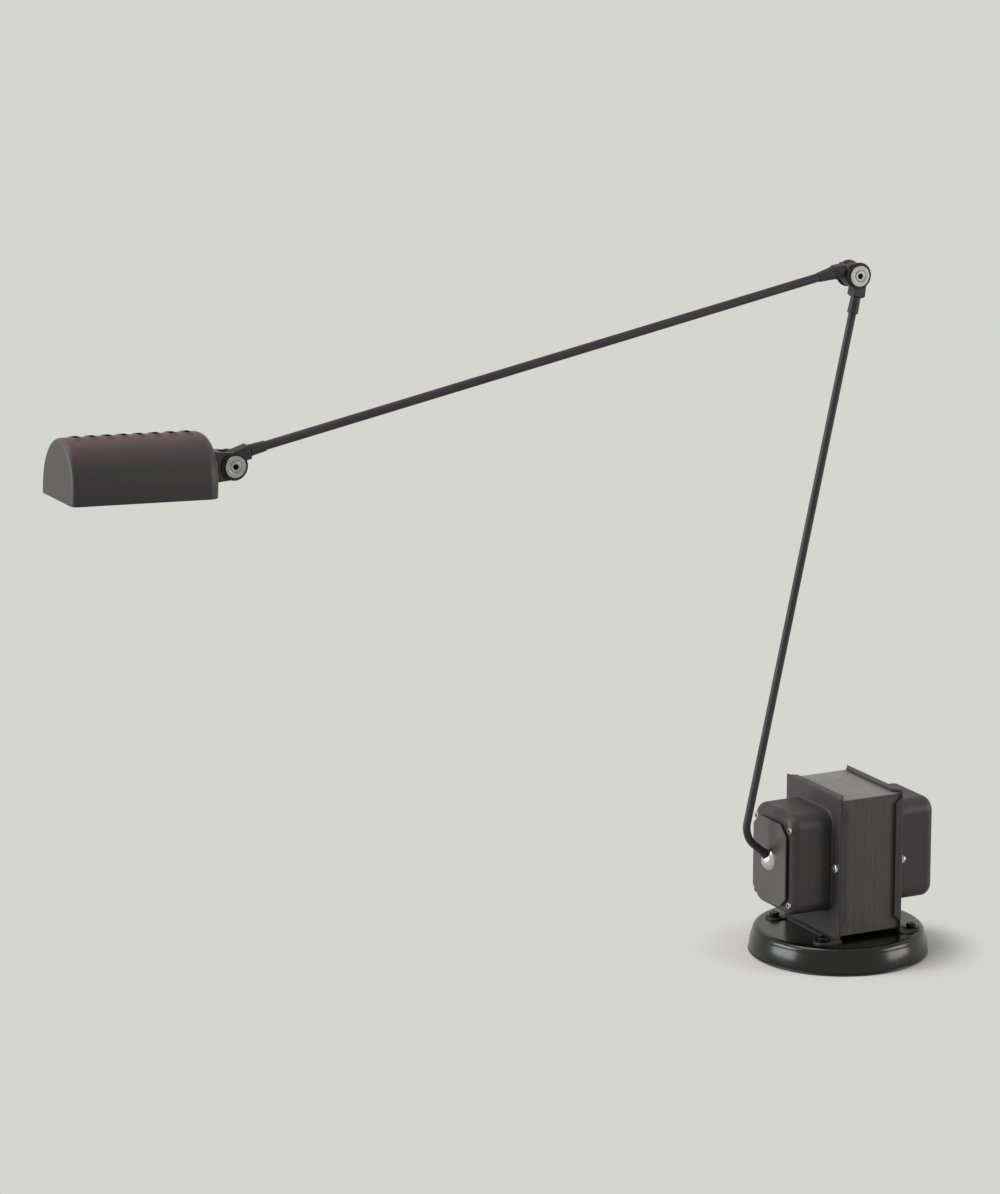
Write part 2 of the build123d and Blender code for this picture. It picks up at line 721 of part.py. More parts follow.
def upper_lead():
    """Lead inside the upper arm."""
    start = elbow_at + upper_side * arm_offset
    return sleeve(start, upper_dir, neck_reach + 1, upper_run - tube_stop - 1, lead_d, 0)


def elbow_fork():
    """Fork of the upper arm: two cheeks, and a neck that narrows to the tube."""
    side = extrude(arm_profile(hub_d / 2, neck_reach, neck_low, neck_high), hub_half, both=True)
    plan = Polygon(
        (-hub_d, -hub_half), (hub_d / 2, -hub_half), (neck_reach, -neck_h / 2), (neck_reach, neck_h / 2),
        (hub_d / 2, hub_half), (-hub_d, hub_half), align=None)
    body = side & extrude(Plane.XZ * plan, hub_d, both=True)
    trim = Cylinder(fork_neck_d / 2, hub_d, align=UP)
    trim += Cone(hub_d, fork_neck_d / 2, neck_reach / 2, align=UP)
    behind = Pos(-hub_d / 2, 0, 0) * Box(hub_d, 2 * hub_d, 2 * hub_d)
    body &= Pos(0, arm_offset, 0) * along_x(trim) + behind
    cone = Cone(neck_h / 2, cone_tip_d / 2, cone_len, align=UP)
    body += Pos(neck_reach, arm_offset, 0) * along_x(cone)
    body -= Cylinder(elbow_slot_r, 2 * slot_half)
    body -= Cylinder(pin_d / 2 + seat_gap, 4 * hub_half)
    socket = along_x(Cylinder(upper_tube_d / 2 + seat_gap, neck_reach + cone_len, align=UP))
    body -= Pos(neck_reach, arm_offset, 0) * socket
    return pivot_frame(elbow_at, upper_dir, upper_side) * body


def head_knuckle():
    """Knuckle on the upper arm's far end."""
    return pivot_frame(head_at, -upper_dir, upper_side) * knuckle(upper_tube_d)


def upper_ferrule():
    """Sleeve behind the head's knuckle."""
    return ferrule(head_at + upper_side * arm_offset, -upper_dir, upper_ferrule_d,
                   upper_ferrule_far_d, upper_tube_d)


# ---------------------------------------------------------------- pivots
def pivot_pin(at):
    """Pin through a fork and the knuckle in it."""
    half = cap_inner + cap_seat
    return Pos(*at) * disc_across(pin_d, -half, half)


def pivot_washers(at):
    """Dark friction washers outside a fork's cheeks."""
    washer = disc_across(hub_washer_d, hub_half, cap_inner) - disc_across(pin_d + 2 * seat_gap, 0, cap_inner)
    return placed([Pos(*at) * washer, Pos(*at) * mirror(washer, about=Plane.XZ)])


def pivot_caps(at):
    """Turned discs on both ends of a pin, each with a centre hole and a groove."""
    cap = disc_across(cap_d, cap_inner, cap_outer)
    cap = chamfer(cap.edges().group_by(Axis.Y)[-1], cap_groove_depth)
    cap -= disc_across(cap_hole_d, cap_inner, cap_outer)
    cap -= disc_across(pin_d + 2 * seat_gap, cap_inner, cap_inner + cap_seat)
    groove = disc_across(cap_groove_d + cap_groove_w, cap_outer - cap_groove_depth, cap_outer)
    groove -= disc_across(cap_groove_d - cap_groove_w, 0, cap_outer)
    cap -= groove
    return placed([Pos(*at) * cap, Pos(*at) * mirror(cap, about=Plane.XZ)])


# ---------------------------------------------------------------- lamp head
def in_head(part):
    """Place a piece built level, with the head pivot at the origin and the front at -X."""
    return Pos(*head_at) * Rot(0, head_rise, 0) * part


def arch_section(inset, bottom):
    """Section of the head: straight sides below an elliptic arch, seen along X."""
    half, top = head_w / 2 - inset, head_arch - inset
    spring = head_bottom + head_side
    arch = Ellipse(half, top) & Pos(0, top / 2) * Rectangle(2 * half, top)
    walls = Pos(0, (bottom - spring) / 2) * Rectangle(2 * half, spring - bottom)
    return Plane.YZ * Pos(0, spring) * (arch + walls)


def head_form(inset, bottom):
    """The head's arched form with rounded ends, smaller than its outside by inset."""
    front = -head_back - head_len + inset
    length = head_len - 2 * inset
    block = Pos(front, 0, 0) * extrude(arch_section(inset, bottom), length)
    ends = block.edges().filter_by(Axis.X, reverse=True)
    ends = [e for e in ends if e.center().Z > bottom + 0.01]
    middle = front + length / 2
    block = fillet([e for e in ends if e.center().X < middle], head_front_r - inset)
    ends = block.edges().filter_by(lambda e: e.center().X > -head_back - inset - 0.01)
    ends = [e for e in ends if e.center().Z > bottom + 0.01]
    return fillet(ends, head_rear_r - inset)


def louvre_places():
    """Centre of each louvre along the head."""
    return [-head_back - louvre_first - i * louvre_pitch for i in range(louvre_count)]


def louvre_hood():
    """Ridge across the crown: a slice of a tighter cylinder that meets the crown at its ends."""
    drop = head_arch * (1 - sqrt(1 - (louvre_w / head_w) ** 2)) + louvre_proud
    radius = ((louvre_w / 2) ** 2 + drop ** 2) / (2 * drop)
    ridge = fillet(Cylinder(radius, louvre_len).edges(), louvre_round)
    ridge = Pos(0, 0, head_crown + louvre_proud - radius) * along_x(ridge)
    return ridge & Pos(0, 0, head_crown) * Box(louvre_len, louvre_w, 4 * drop)


def head_shell():
    """Arched shell, open underneath, with pressed louvres along its crown."""
    shell = head_form(0, head_bottom)
    hood = louvre_hood()
    for x in louvre_places():
        shell += Pos(x, 0, 0) * hood
    shell -= head_form(head_wall, head_bottom - head_wall)
    slot = Box(louvre_slot, louvre_slot_w, head_arch / 2)
    for x in louvre_places():
        shell -= Pos(x, 0, head_crown) * slot
    for z in bracket_screw_places():
        hole = along_x(Cylinder(bracket_screw_d / 2 + clearance_hole, 4 * head_wall))
        shell -= Pos(-head_back, 0, z) * hole
    return in_head(shell)


def bracket_screw_places():
    """Heights of the two bracket screws."""
    return [-bracket_screw_pitch / 2, bracket_screw_pitch / 2]


def head_bracket():
    """Fork screwed to the head's rear face; the arm's knuckle turns between its cheeks."""
    root = bracket_root_h / 2
    span = sqrt(head_back ** 2 + root ** 2)
    touch = atan2(root, head_back) + acos(hub_d / 2 / span)
    tx, tz = hub_d / 2 * cos(touch), hub_d / 2 * sin(touch)
    side = Circle(hub_d / 2)
    side += Polygon((-tx, tz), (-head_back, root), (-head_back, -root), (-tx, -tz), align=None)
    body = extrude(Plane.XZ * side, hub_half, both=True)
    body -= disc_across(2 * head_slot_r, -slot_half, slot_half)
    body -= disc_across(pin_d + 2 * seat_gap, -2 * hub_half, 2 * hub_half)
    for z in bracket_screw_places():
        hole = along_x(Cylinder(bracket_screw_d / 2 + seat_gap, bracket_screw_bite, align=UP))
        body -= Pos(-head_back, 0, z) * hole
    return in_head(body)


def bracket_screws():
    """Screws from inside the shell into the bracket."""
    one = screw(bracket_screw_d, head_wall + bracket_screw_bite, bracket_screw_head_d,
                bracket_screw_head_h)
    x = -head_back - head_wall
    return placed([in_head(Pos(x, 0, z) * Rot(0, -90, 0) * one) for z in bracket_screw_places()])


def trough_form(inset):
    """Elliptic trough of the reflector as a solid with rounded ends."""
    half, top = trough_w / 2 - inset, trough_h - inset
    section = Ellipse(half, top) & Pos(0, top / 2) * Rectangle(2 * half, top)
    length = trough_rear - trough_front - 2 * inset
    block = extrude(Plane.YZ * Pos(0, reflector_z) * section, length)
    block = Pos(trough_front + inset, 0, 0) * block
    ends = block.edges().filter_by(Axis.X, reverse=True)
    ends = [e for e in ends if e.center().Z > reflector_z + 0.01]
    return fillet(ends, trough_end_r - inset)


def reflector():
    """Polished trough with a flat frame that fits inside the shell."""
    frame = head_form(head_wall + reflector_gap, head_bottom)
    frame &= Pos(-head_back - head_len / 2, 0, reflector_z) * Box(
        head_len, head_w, reflector_t, align=UP)
    body = frame + trough_form(0)
    body -= trough_form(reflector_t)
    for z in holder_screw_places():
        hole = along_x(Cylinder(holder_screw_d / 2 + clearance_hole, 4 * reflector_t))
        body -= Pos(trough_rear, 0, z) * hole
    return in_head(body)


def holder_form():
    """Ceramic block at the trough's rear end, with two contact holes."""
    block = Pos(holder_face, 0, bulb_z) * Box(
        holder_l, holder_w, holder_h, align=(Align.MIN, Align.CENTER, Align.CENTER))
    block = chamfer(block.edges().group_by(Axis.X)[0], 1.0)
    for side in (-1, 1):
        hole = along_x(Cylinder(contact_d / 2 + seat_gap, contact_depth, align=UP))
        block -= Pos(holder_face, side * contact_pitch / 2, bulb_z) * hole
    for z in holder_screw_places():
        hole = along_x(Cylinder(holder_screw_d / 2 + seat_gap, contact_depth, align=UP))
        block -= Pos(holder_rear - contact_depth, 0, z) * hole
    return block


def holder_screw_places():
    """Heights of the two holder screws."""
    return [bulb_z - holder_screw_pitch / 2, bulb_z + holder_screw_pitch / 2]


def lamp_holder():
    """Ceramic lamp holder."""
    return in_head(holder_form())


def holder_screws():
    """Screws through the trough's rear wall into the holder."""
    one = screw(holder_screw_d, contact_depth - 1.0 + reflector_t, holder_screw_head_d,
                holder_screw_head_h)
    return placed([in_head(Pos(trough_rear, 0, z) * along_x(one)) for z in holder_screw_places()])


def pinch_front():
    """Front end of the bulb's flat pinch."""
    return holder_face - pinch_l


def halogen_bulb():
    """Glass capsule with a flat pinch, lying along the head."""
    pinch = Pos(pinch_front(), 0, bulb_z) * Box(
        pinch_l, pinch_w, pinch_t, align=(Align.MIN, Align.CENTER, Align.CENTER))
    tube = bulb_len - bulb_d / 2
    glass = capsule(bulb_d / 2, tube)
    room = Pos(0, 0, 2 * glass_t) * capsule(bulb_d / 2 - glass_t, tube - 2 * glass_t)
    glass = Pos(pinch_front(), 0, bulb_z) * Rot(0, -90, 0) * (glass - room)
    body = glass + pinch
    for side in (-1, 1):
        hole = along_x(Cylinder(contact_d / 2 + seat_gap, pinch_l, align=UP))
        body -= Pos(pinch_front() + 1.0, side * contact_pitch / 2, bulb_z) * hole
    return in_head(body)


def capsule(radius, length):
    """Cylinder from z = 0 with a round top."""
    return Cylinder(radius, length, align=UP) + Pos(0, 0, length) * Sphere(radius)


def bulb_pins():
    """Contact pins from the pinch into the holder."""
    length = pinch_l - 1.0 + contact_depth - 0.5
    pin = along_x(Cylinder(contact_d / 2, length, align=UP))
    places = [side * contact_pitch / 2 for side in (-1, 1)]
    return placed([in_head(Pos(pinch_front() + 1.0, y, bulb_z) * pin) for y in places])


# ---------------------------------------------------------------- rear bell fittings
def switch_housing():
    """Open-fronted switch body with a bezel on the bell's face."""
    rim_w, rim_h = switch_w + 2 * switch_rim, switch_h + 2 * switch_rim
    bezel = Box(switch_rim_t, rim_w, rim_h, align=(Align.MIN, Align.CENTER, Align.CENTER))
    bezel = chamfer(bezel.edges().group_by(Axis.X)[-1], 0.6)
    body = Box(switch_depth, switch_w - 2 * seat_gap, switch_h - 2 * seat_gap,
               align=(Align.MAX, Align.CENTER, Align.CENTER))
    body = bezel + body
    well = Pos(switch_rim_t - switch_depth / 2, 0, 0) * Box(
        switch_depth, switch_w - 2 * switch_wall, switch_h - 2 * switch_wall)
    body -= well
    body -= disc_across(rocker_axle_d + 2 * run_gap, -switch_w, switch_w)
    return Pos(right_face_x, 0, switch_z) * body


def switch_rocker():
    """Rocker on its axle, tilted to off."""
    half_h = switch_h / 2 - switch_wall - rocker_gap
    width = switch_w - 2 * switch_wall - 2 * rocker_gap
    side = Polygon(
        (-rocker_axle_d, -half_h * 0.5), (-rocker_axle_d, half_h * 0.5), (rocker_proud, half_h * 0.94),
        (rocker_proud * 0.62, 0), (rocker_proud, -half_h * 0.94), align=None)
    body = extrude(Plane.XZ * side, width / 2, both=True)
    body += disc_across(rocker_axle_d, -switch_w / 2 + seat_gap, switch_w / 2 - seat_gap)
    return Pos(right_face_x, 0, switch_z) * Rot(0, -rocker_tilt, 0) * body


def cable_gland():
    """Cable gland through the rear bell, with the bore that takes the cord."""
    cap = along_x(Cylinder(gland_d / 2, gland_out, align=UP))
    cap = fillet(cap.edges().group_by(Axis.X)[-1], 1.5)
    stem = Pos(-gland_in, 0, 0) * along_x(Cylinder(gland_thread_d / 2, gland_in, align=UP))
    bore = Pos(-gland_in, 0, 0) * along_x(Cylinder(gland_bore_d / 2, gland_in + gland_out, align=UP))
    return Pos(right_face_x, 0, gland_z) * (cap + stem - bore)


def gland_nut():
    """Nut that clamps the gland from inside the bell."""
    nut = extrude(RegularPolygon(gland_nut_across / 2, 6, major_radius=False), gland_nut_t)
    nut -= Cylinder(gland_thread_d / 2 + seat_gap, gland_nut_t, align=UP)
    return Pos(right_face_x - sheet_t - gland_nut_t, 0, gland_z) * along_x(nut)


def terminal_block():
    """Two-way terminal block on the inside of the rear bell's face."""
    x = right_face_x - sheet_t
    block = Pos(x, 0, terminal_z) * Box(
        terminal_l, terminal_w, terminal_h, align=(Align.MAX, Align.CENTER, Align.CENTER))
    for side in (-1, 1):
        y = side * terminal_screw_pitch / 2
        block -= Pos(x - terminal_l / 2, y, terminal_z) * Cylinder(terminal_hole_d / 2, 2 * terminal_h)
    return block


# ---------------------------------------------------------------- write the nodes
def all_nodes():
    """Every node of the lamp, by name."""
    washers, screws = foot_fasteners()
    bolts, nuts = bolt_fasteners()
    return {
        "base_cover": base_cover(), "base_ballast": base_ballast(), "base_pad": base_pad(),
        "foot_washers": washers, "foot_screws": screws,
        "core_stack": core_stack(), "coil_bobbin": bobbin(),
        "primary_winding": primary_winding(), "secondary_winding": secondary_winding(),
        "left_bell": left_bell(), "right_bell": right_bell(),
        "face_screws": face_screws(),
        "through_bolts": bolts, "through_bolt_nuts": nuts,
        "socket_plate": socket_plate(), "socket_backing_plate": backing_plate(),
        "swivel_socket": swivel_socket(), "swivel_bush": swivel_bush(),
        "socket_screws": socket_screws(),
        "switch_housing": switch_housing(), "switch_rocker": switch_rocker(),
        "cable_gland": cable_gland(), "gland_nut": gland_nut(), "terminal_block": terminal_block(),
        "lower_arm_tube": lower_tube(), "lower_arm_lead": lower_lead(),
        "swivel_collar": swivel_collar(), "swivel_clip": swivel_clip(),
        "lower_arm_ferrule": lower_ferrule(), "elbow_knuckle": elbow_knuckle(),
        "elbow_fork": elbow_fork(), "elbow_pin": pivot_pin(elbow_at),
        "elbow_washers": pivot_washers(elbow_at), "elbow_caps": pivot_caps(elbow_at),
        "upper_arm_tube": upper_tube(), "upper_arm_lead": upper_lead(),
        "upper_arm_ferrule": upper_ferrule(), "head_knuckle": head_knuckle(),
        "head_bracket": head_bracket(), "head_pin": pivot_pin(head_at),
        "head_washers": pivot_washers(head_at), "head_caps": pivot_caps(head_at),
        "head_shell": head_shell(), "bracket_screws": bracket_screws(),
        "reflector": reflector(), "lamp_holder": lamp_holder(), "holder_screws": holder_screws(),
        "halogen_bulb": halogen_bulb(), "bulb_pins": bulb_pins(),
    }


os.makedirs("parts", exist_ok=True)
for name, node in all_nodes().items():
    export_step(node, f"parts/{name}.step")
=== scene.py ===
"""Looks of a counterweight desk lamp: lacquered transformer, thin rods and a louvred head."""
import json
import logging
import math
from dataclasses import dataclass
from enum import Enum
from functools import cache

import bmesh
import bpy
import numpy as np
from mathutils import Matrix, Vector


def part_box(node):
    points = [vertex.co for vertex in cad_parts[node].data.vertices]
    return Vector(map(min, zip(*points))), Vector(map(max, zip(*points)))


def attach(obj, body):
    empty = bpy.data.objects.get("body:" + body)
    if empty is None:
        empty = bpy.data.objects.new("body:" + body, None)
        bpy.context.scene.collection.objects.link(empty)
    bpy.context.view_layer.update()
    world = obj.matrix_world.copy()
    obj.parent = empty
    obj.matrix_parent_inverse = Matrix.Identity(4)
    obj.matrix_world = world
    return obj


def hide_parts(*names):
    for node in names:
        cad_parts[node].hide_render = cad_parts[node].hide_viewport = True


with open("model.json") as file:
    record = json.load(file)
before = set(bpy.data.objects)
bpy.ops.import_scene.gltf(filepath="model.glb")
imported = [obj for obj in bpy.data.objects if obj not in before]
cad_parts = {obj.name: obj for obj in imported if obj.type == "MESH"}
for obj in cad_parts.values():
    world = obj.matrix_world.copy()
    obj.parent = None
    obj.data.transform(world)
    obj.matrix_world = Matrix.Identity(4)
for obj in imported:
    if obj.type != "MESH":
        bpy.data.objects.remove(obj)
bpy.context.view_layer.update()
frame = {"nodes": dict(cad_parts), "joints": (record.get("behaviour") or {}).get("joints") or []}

log = logging.getLogger("desk_lamp")
MM = 0.001
HEAD_RISE_DEG = 2.5  # the head's front stands higher than its pivot by this angle
NODES: dict[str, bpy.types.Object] = frame["nodes"]
JOINTS: dict[str, dict] = {j["name"]: j for j in frame["joints"]}
Rgb = tuple[float, float, float]
Vec = tuple[float, float, float]
Socket = bpy.types.NodeSocket
Faces = list[tuple[int, ...]]


def shade(value: float) -> float:
    """Linear value of a value between 0 and 255, by the sRGB curve."""
    share = value / 255
    return share / 12.92 if share <= 0.04045 else ((share + 0.055) / 1.055) ** 2.4


def rgb(red: float, green: float, blue: float) -> Rgb:
    """Linear RGB of sRGB values between 0 and 255."""
    return shade(red), shade(green), shade(blue)


# ---------------------------------------------------------------- meshes from arrays
def add_piece(name: str, points: np.ndarray, faces: Faces, body: str,
              flat: bool = False) -> bpy.types.Object:
    """Make a piece from points in millimetres and faces, and let it ride on a body.

    Args:
        name: the piece's name.
        points: rows of x, y, z in millimetres.
        faces: corner numbers of each face, anticlockwise from outside.
        body: the body that carries the piece.
        flat: keep hard faces instead of smooth ones.

    Returns:
        The object.
    """
    mesh = bpy.data.meshes.new(name)
    mesh.from_pydata((points * MM).tolist(), [], faces)
    mesh.polygons.foreach_set("use_smooth", np.full(len(mesh.polygons), not flat))
    mesh.update()
    obj = bpy.data.objects.new(name, mesh)
    bpy.context.scene.collection.objects.link(obj)
    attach(obj, body)
    log.info("piece %s: %d points, %d faces", name, len(points), len(faces))
    return obj


def grid_faces(rows: int, columns: int, start: int = 0, wrap_rows: bool = False,
               wrap_columns: bool = False) -> Faces:
    """Quads of a grid of points stored row by row.

    Quad (i, j) joins points (i, j), (i, j + 1), (i + 1, j + 1) and (i + 1, j), with the numbers
    taken round the end where the grid closes on itself.

    Args:
        rows: number of rows.
        columns: number of columns.
        start: number of the first point.
        wrap_rows: the last row joins the first.
        wrap_columns: the last column joins the first.

    Returns:
        The faces.
    """
    i, j = np.meshgrid(np.arange(rows if wrap_rows else rows - 1),
                       np.arange(columns if wrap_columns else columns - 1), indexing="ij")
    here, below = i * columns, (i + 1) % rows * columns
    right = (j + 1) % columns
    quads = np.stack([here + j, here + right, below + right, below + j], axis=-1) + start
    return [tuple(q) for q in quads.reshape(-1, 4).tolist()]


def lathe(profile: np.ndarray, sides: int) -> np.ndarray:
    """Surface of revolution about Z.

    Point (i, j) = (r_i cos a_j, r_i sin a_j, z_i), where a_j = 2 pi j / sides.

    Args:
        profile: rows of radius and height in millimetres.
        sides: number of sides.

    Returns:
        Points, row by row: one row for each point of the profile.
    """
    angle = 2 * np.pi * np.arange(sides) / sides
    radius, height = profile[:, :1], profile[:, 1:]
    grid = np.stack([radius * np.cos(angle), radius * np.sin(angle),
                     height * np.ones(sides)], axis=-1)
    return grid.reshape(-1, 3)


def arc(centre: tuple[float, float], radius: float, start: float, end: float,
        steps: int) -> np.ndarray:
    """Arc in a plane: centre + radius (cos t, sin t), t from start to end in degrees.

    Args:
        centre: its centre.
        radius: its radius.
        start: first angle.
        end: last angle.
        steps: number of points.

    Returns:
        Rows of two coordinates.
    """
    t = np.radians(np.linspace(start, end, steps))
    return np.stack([centre[0] + radius * np.cos(t), centre[1] + radius * np.sin(t)], axis=1)


def turned(points: np.ndarray, right: Vec, up: Vec, out: Vec, origin: Vec) -> np.ndarray:
    """Points of a frame with axes right, up and out at an origin: p = o + x r + y u + z n.

    Args:
        points: rows of x, y, z.
        right: direction of x.
        up: direction of y.
        out: direction of z.
        origin: the frame's origin in millimetres.

    Returns:
        The rows in the object's frame.
    """
    return points @ np.array([right, up, out], dtype=float) + np.array(origin, dtype=float)


def box_mm(node: str) -> tuple[np.ndarray, np.ndarray]:
    """Lowest and highest corner of a node in millimetres."""
    low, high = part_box(node)
    return np.array(low) / MM, np.array(high) / MM


# ---------------------------------------------------------------- node helpers
class Nodes:
    """A material's node tree with short calls for the nodes that the finishes share."""

    def __init__(self, name: str) -> None:
        """Start an empty material with a Principled shader.

        Args:
            name: the material's name.
        """
        self.material = bpy.data.materials.new(name)
        self.material.use_nodes = True
        self.tree = self.material.node_tree
        self.tree.nodes.clear()
        self.output = self.add("OutputMaterial")
        self.shader = self.add("BsdfPrincipled")
        self.link(self.shader.outputs[0], self.output.inputs[0])

    def add(self, kind: str) -> bpy.types.Node:
        """Add a shader node by the end of its type's name."""
        return self.tree.nodes.new("ShaderNode" + kind)

    def link(self, source: Socket, target: Socket) -> None:
        """Join two sockets."""
        self.tree.links.new(source, target)

    def put(self, target: Socket, value: Socket | float | tuple[float, ...]) -> None:
        """Link a socket to an input, or set the input's own value.

        Args:
            target: the input.
            value: a socket or a fixed value.
        """
        if isinstance(value, Socket):
            self.link(value, target)
        else:
            target.default_value = value

    def feed(self, **sources: Socket) -> None:
        """Link sockets to inputs of the shader by name, with underscores for spaces."""
        for key, source in sources.items():
            self.link(source, self.shader.inputs[key.replace("_", " ")])

    def set(self, **values: object) -> None:
        """Set inputs of the shader by name, with underscores for spaces."""
        for key, value in values.items():
            self.shader.inputs[key.replace("_", " ")].default_value = value

    def points(self, centre: Vec = (0, 0, 0), stretch: Vec = (1, 1, 1)) -> Socket:
        """Object coordinates, centred on a point in metres and stretched along each axis.

        Args:
            centre: the point that becomes the origin.
            stretch: factor on each axis.

        Returns:
            The vector socket.
        """
        mapping = self.add("Mapping")
        mapping.inputs["Scale"].default_value = stretch
        mapping.inputs["Location"].default_value = [-c * s for c, s in zip(centre, stretch)]
        self.link(self.add("TexCoord").outputs["Object"], mapping.inputs["Vector"])
        return mapping.outputs["Vector"]

    def noise(self, points: Socket, scale: float, detail: float = 3.0,
              rough: float = 0.55) -> Socket:
        """Noise value between 0 and 1.

        Args:
            points: coordinates.
            scale: cells per metre.
            detail: octaves.
            rough: share of the finer octaves.

        Returns:
            The factor socket.
        """
        node = self.add("TexNoise")
        node.inputs["Scale"].default_value = scale
        node.inputs["Detail"].default_value = detail
        node.inputs["Roughness"].default_value = rough
        self.link(points, node.inputs["Vector"])
        return node.outputs["Fac"]

    def spread(self, value: Socket, low: float, high: float,
               start: float = 0.3, end: float = 0.7) -> Socket:
        """Map a value from start..end to low..high, clamped.

        Args:
            value: the input.
            low: output at start.
            high: output at end.
            start: input that gives low.
            end: input that gives high.

        Returns:
            The mapped socket.
        """
        node = self.add("MapRange")
        limits = {"From Min": start, "From Max": end, "To Min": low, "To Max": high}
        for key, number in limits.items():
            node.inputs[key].default_value = number
        self.link(value, node.inputs["Value"])
        return node.outputs["Result"]

    def math(self, operation: str, first: Socket, second: Socket | float) -> Socket:
        """Result of a maths node.

        Args:
            operation: the node's operation.
            first: first value.
            second: second value, a socket or a number.

        Returns:
            The value socket.
        """
        node = self.add("Math")
        node.operation = operation
        self.link(first, node.inputs[0])
        self.put(node.inputs[1], second)
        return node.outputs[0]

    def mix(self, factor: Socket, first: Rgb | Socket, second: Rgb | Socket) -> Socket:
        """Mix two colours by a factor.

        Args:
            factor: 0 gives the first colour.
            first: linear RGB or a colour socket.
            second: linear RGB or a colour socket.

        Returns:
            The colour socket.
        """
        node = self.add("Mix")
        node.data_type = "RGBA"
        self.link(factor, node.inputs[0])
        colours = node.inputs[6], node.inputs[7]
        for socket, colour in zip(colours, (first, second)):
            self.put(socket, colour if isinstance(colour, Socket) else (*colour, 1))
        return node.outputs[2]

    def blend(self, factor: Socket, first: Socket, second: Socket) -> Socket:
        """Mix two shaders by a factor.

        Args:
            factor: 0 gives the first shader.
            first: a shader.
            second: a shader.

        Returns:
            The shader socket.
        """
        node = self.add("MixShader")
        for number, source in enumerate((factor, first, second)):
            self.link(source, node.inputs[number])
        return node.outputs[0]

    def bump(self, height: Socket, depth_mm: float, strength: float = 1.0,
             below: Socket | None = None) -> Socket:
        """Bump from a height of 0 to 1.

        Args:
            height: the height field.
            depth_mm: depth of a full step.
            strength: share of the effect.
            below: normal of a coarser bump under this one.

        Returns:
            The normal socket.
        """
        node = self.add("Bump")
        node.inputs["Strength"].default_value = strength
        node.inputs["Distance"].default_value = depth_mm * MM
        self.link(height, node.inputs["Height"])
        if below is not None:
            self.link(below, node.inputs["Normal"])
        return node.outputs["Normal"]

    def edge(self, width_mm: float) -> Socket:
        """1 on edges and 0 on flats, from the turn of a bevelled normal.

        The cosine between the bevelled and the plain normal is 1 on a flat and falls towards
        an edge.

        Args:
            width_mm: reach of the edge in millimetres.

        Returns:
            The value socket.
        """
        samples, full_turn, no_turn = 4, 0.8, 0.98
        bevel = self.add("Bevel")
        bevel.samples = samples
        bevel.inputs["Radius"].default_value = width_mm * MM
        geometry = self.add("NewGeometry")
        turn = self.add("VectorMath")
        turn.operation = "DOT_PRODUCT"
        self.link(bevel.outputs[0], turn.inputs[0])
        self.link(geometry.outputs["Normal"], turn.inputs[1])
        return self.spread(turn.outputs["Value"], 1.0, 0.0, full_turn, no_turn)

    def upward(self, start: float, end: float) -> Socket:
        """How far a face looks up, by the height of its normal.

        Args:
            start: height that gives 0.
            end: height that gives 1.

        Returns:
            The value socket.
        """
        parts = self.add("SeparateXYZ")
        self.link(self.add("NewGeometry").outputs["Normal"], parts.inputs[0])
        return self.spread(parts.outputs["Z"], 0.0, 1.0, start, end)


# ---------------------------------------------------------------- finishes
@dataclass(frozen=True)
class Lacquer:
    """Sprayed lacquer: slightly uneven colour, orange peel, a fine dusty grain and rubbed edges.

    Where a painted top light is given, faces that look up turn towards that lighter, warmer
    colour: painted light falling from above.
    """

    name: str
    light: Rgb
    dark: Rgb
    rough: tuple[float, float] = (0.38, 0.5)
    peel_mm: float = 0.010
    peel_scale: float = 900.0
    grain_mm: float = 0.005
    specular: float = 0.28
    rub: float = 0.35
    rub_colour: Rgb = rgb(122, 119, 117)
    painted_top_light: Rgb | None = None

    def build(self) -> bpy.types.Material:
        """Build the material.

        Returns:
            The material.
        """
        n = Nodes(self.name)
        points = n.points()
        cloud = n.noise(points, 22.0, 4.0)
        paint = n.mix(n.spread(cloud, 0, 1), self.dark, self.light)
        # painted light: faces that look up are painted lighter and warmer, as if lit from above
        if self.painted_top_light is not None:
            paint = n.mix(n.upward(0.35, 0.95), paint, self.painted_top_light)
        patches = n.spread(n.noise(points, 420.0, 4.0), 0.0, self.rub, 0.45, 0.62)
        worn = n.math("MULTIPLY", n.edge(0.35), patches)
        n.feed(Base_Color=n.mix(worn, paint, self.rub_colour))
        n.feed(Roughness=n.spread(n.noise(points, 60.0, 5.0), *self.rough))
        peel = n.bump(n.noise(points, self.peel_scale, 2.0), self.peel_mm)
        n.feed(Normal=n.bump(n.noise(points, 2600.0, 2.0), self.grain_mm, below=peel))
        n.set(Specular_IOR_Level=self.specular)
        return n.material


@dataclass(frozen=True)
class GlossEnamel:
    """Deep enamel of the base disc, with faint dusty specks, haze and a soft orange peel."""

    name: str
    colour: Rgb
    rough: tuple[float, float] = (0.2, 0.27)
    specular: float = 0.5
    coat: float = 0.25

    def build(self) -> bpy.types.Material:
        """Build the material.

        Returns:
            The material.
        """
        n = Nodes(self.name)
        points = n.points()
        speck = n.spread(n.noise(points, 1700.0, 1.0), 0, 1, 0.71, 0.8)
        dusty = tuple(c + 0.02 for c in self.colour)
        n.feed(Base_Color=n.mix(speck, self.colour, dusty))
        n.feed(Roughness=n.spread(n.noise(points, 35.0, 5.0), *self.rough))
        n.feed(Normal=n.bump(n.noise(points, 260.0, 2.0), 0.005))
        n.set(Specular_IOR_Level=self.specular, Coat_Weight=self.coat, Coat_Roughness=0.12)
        return n.material


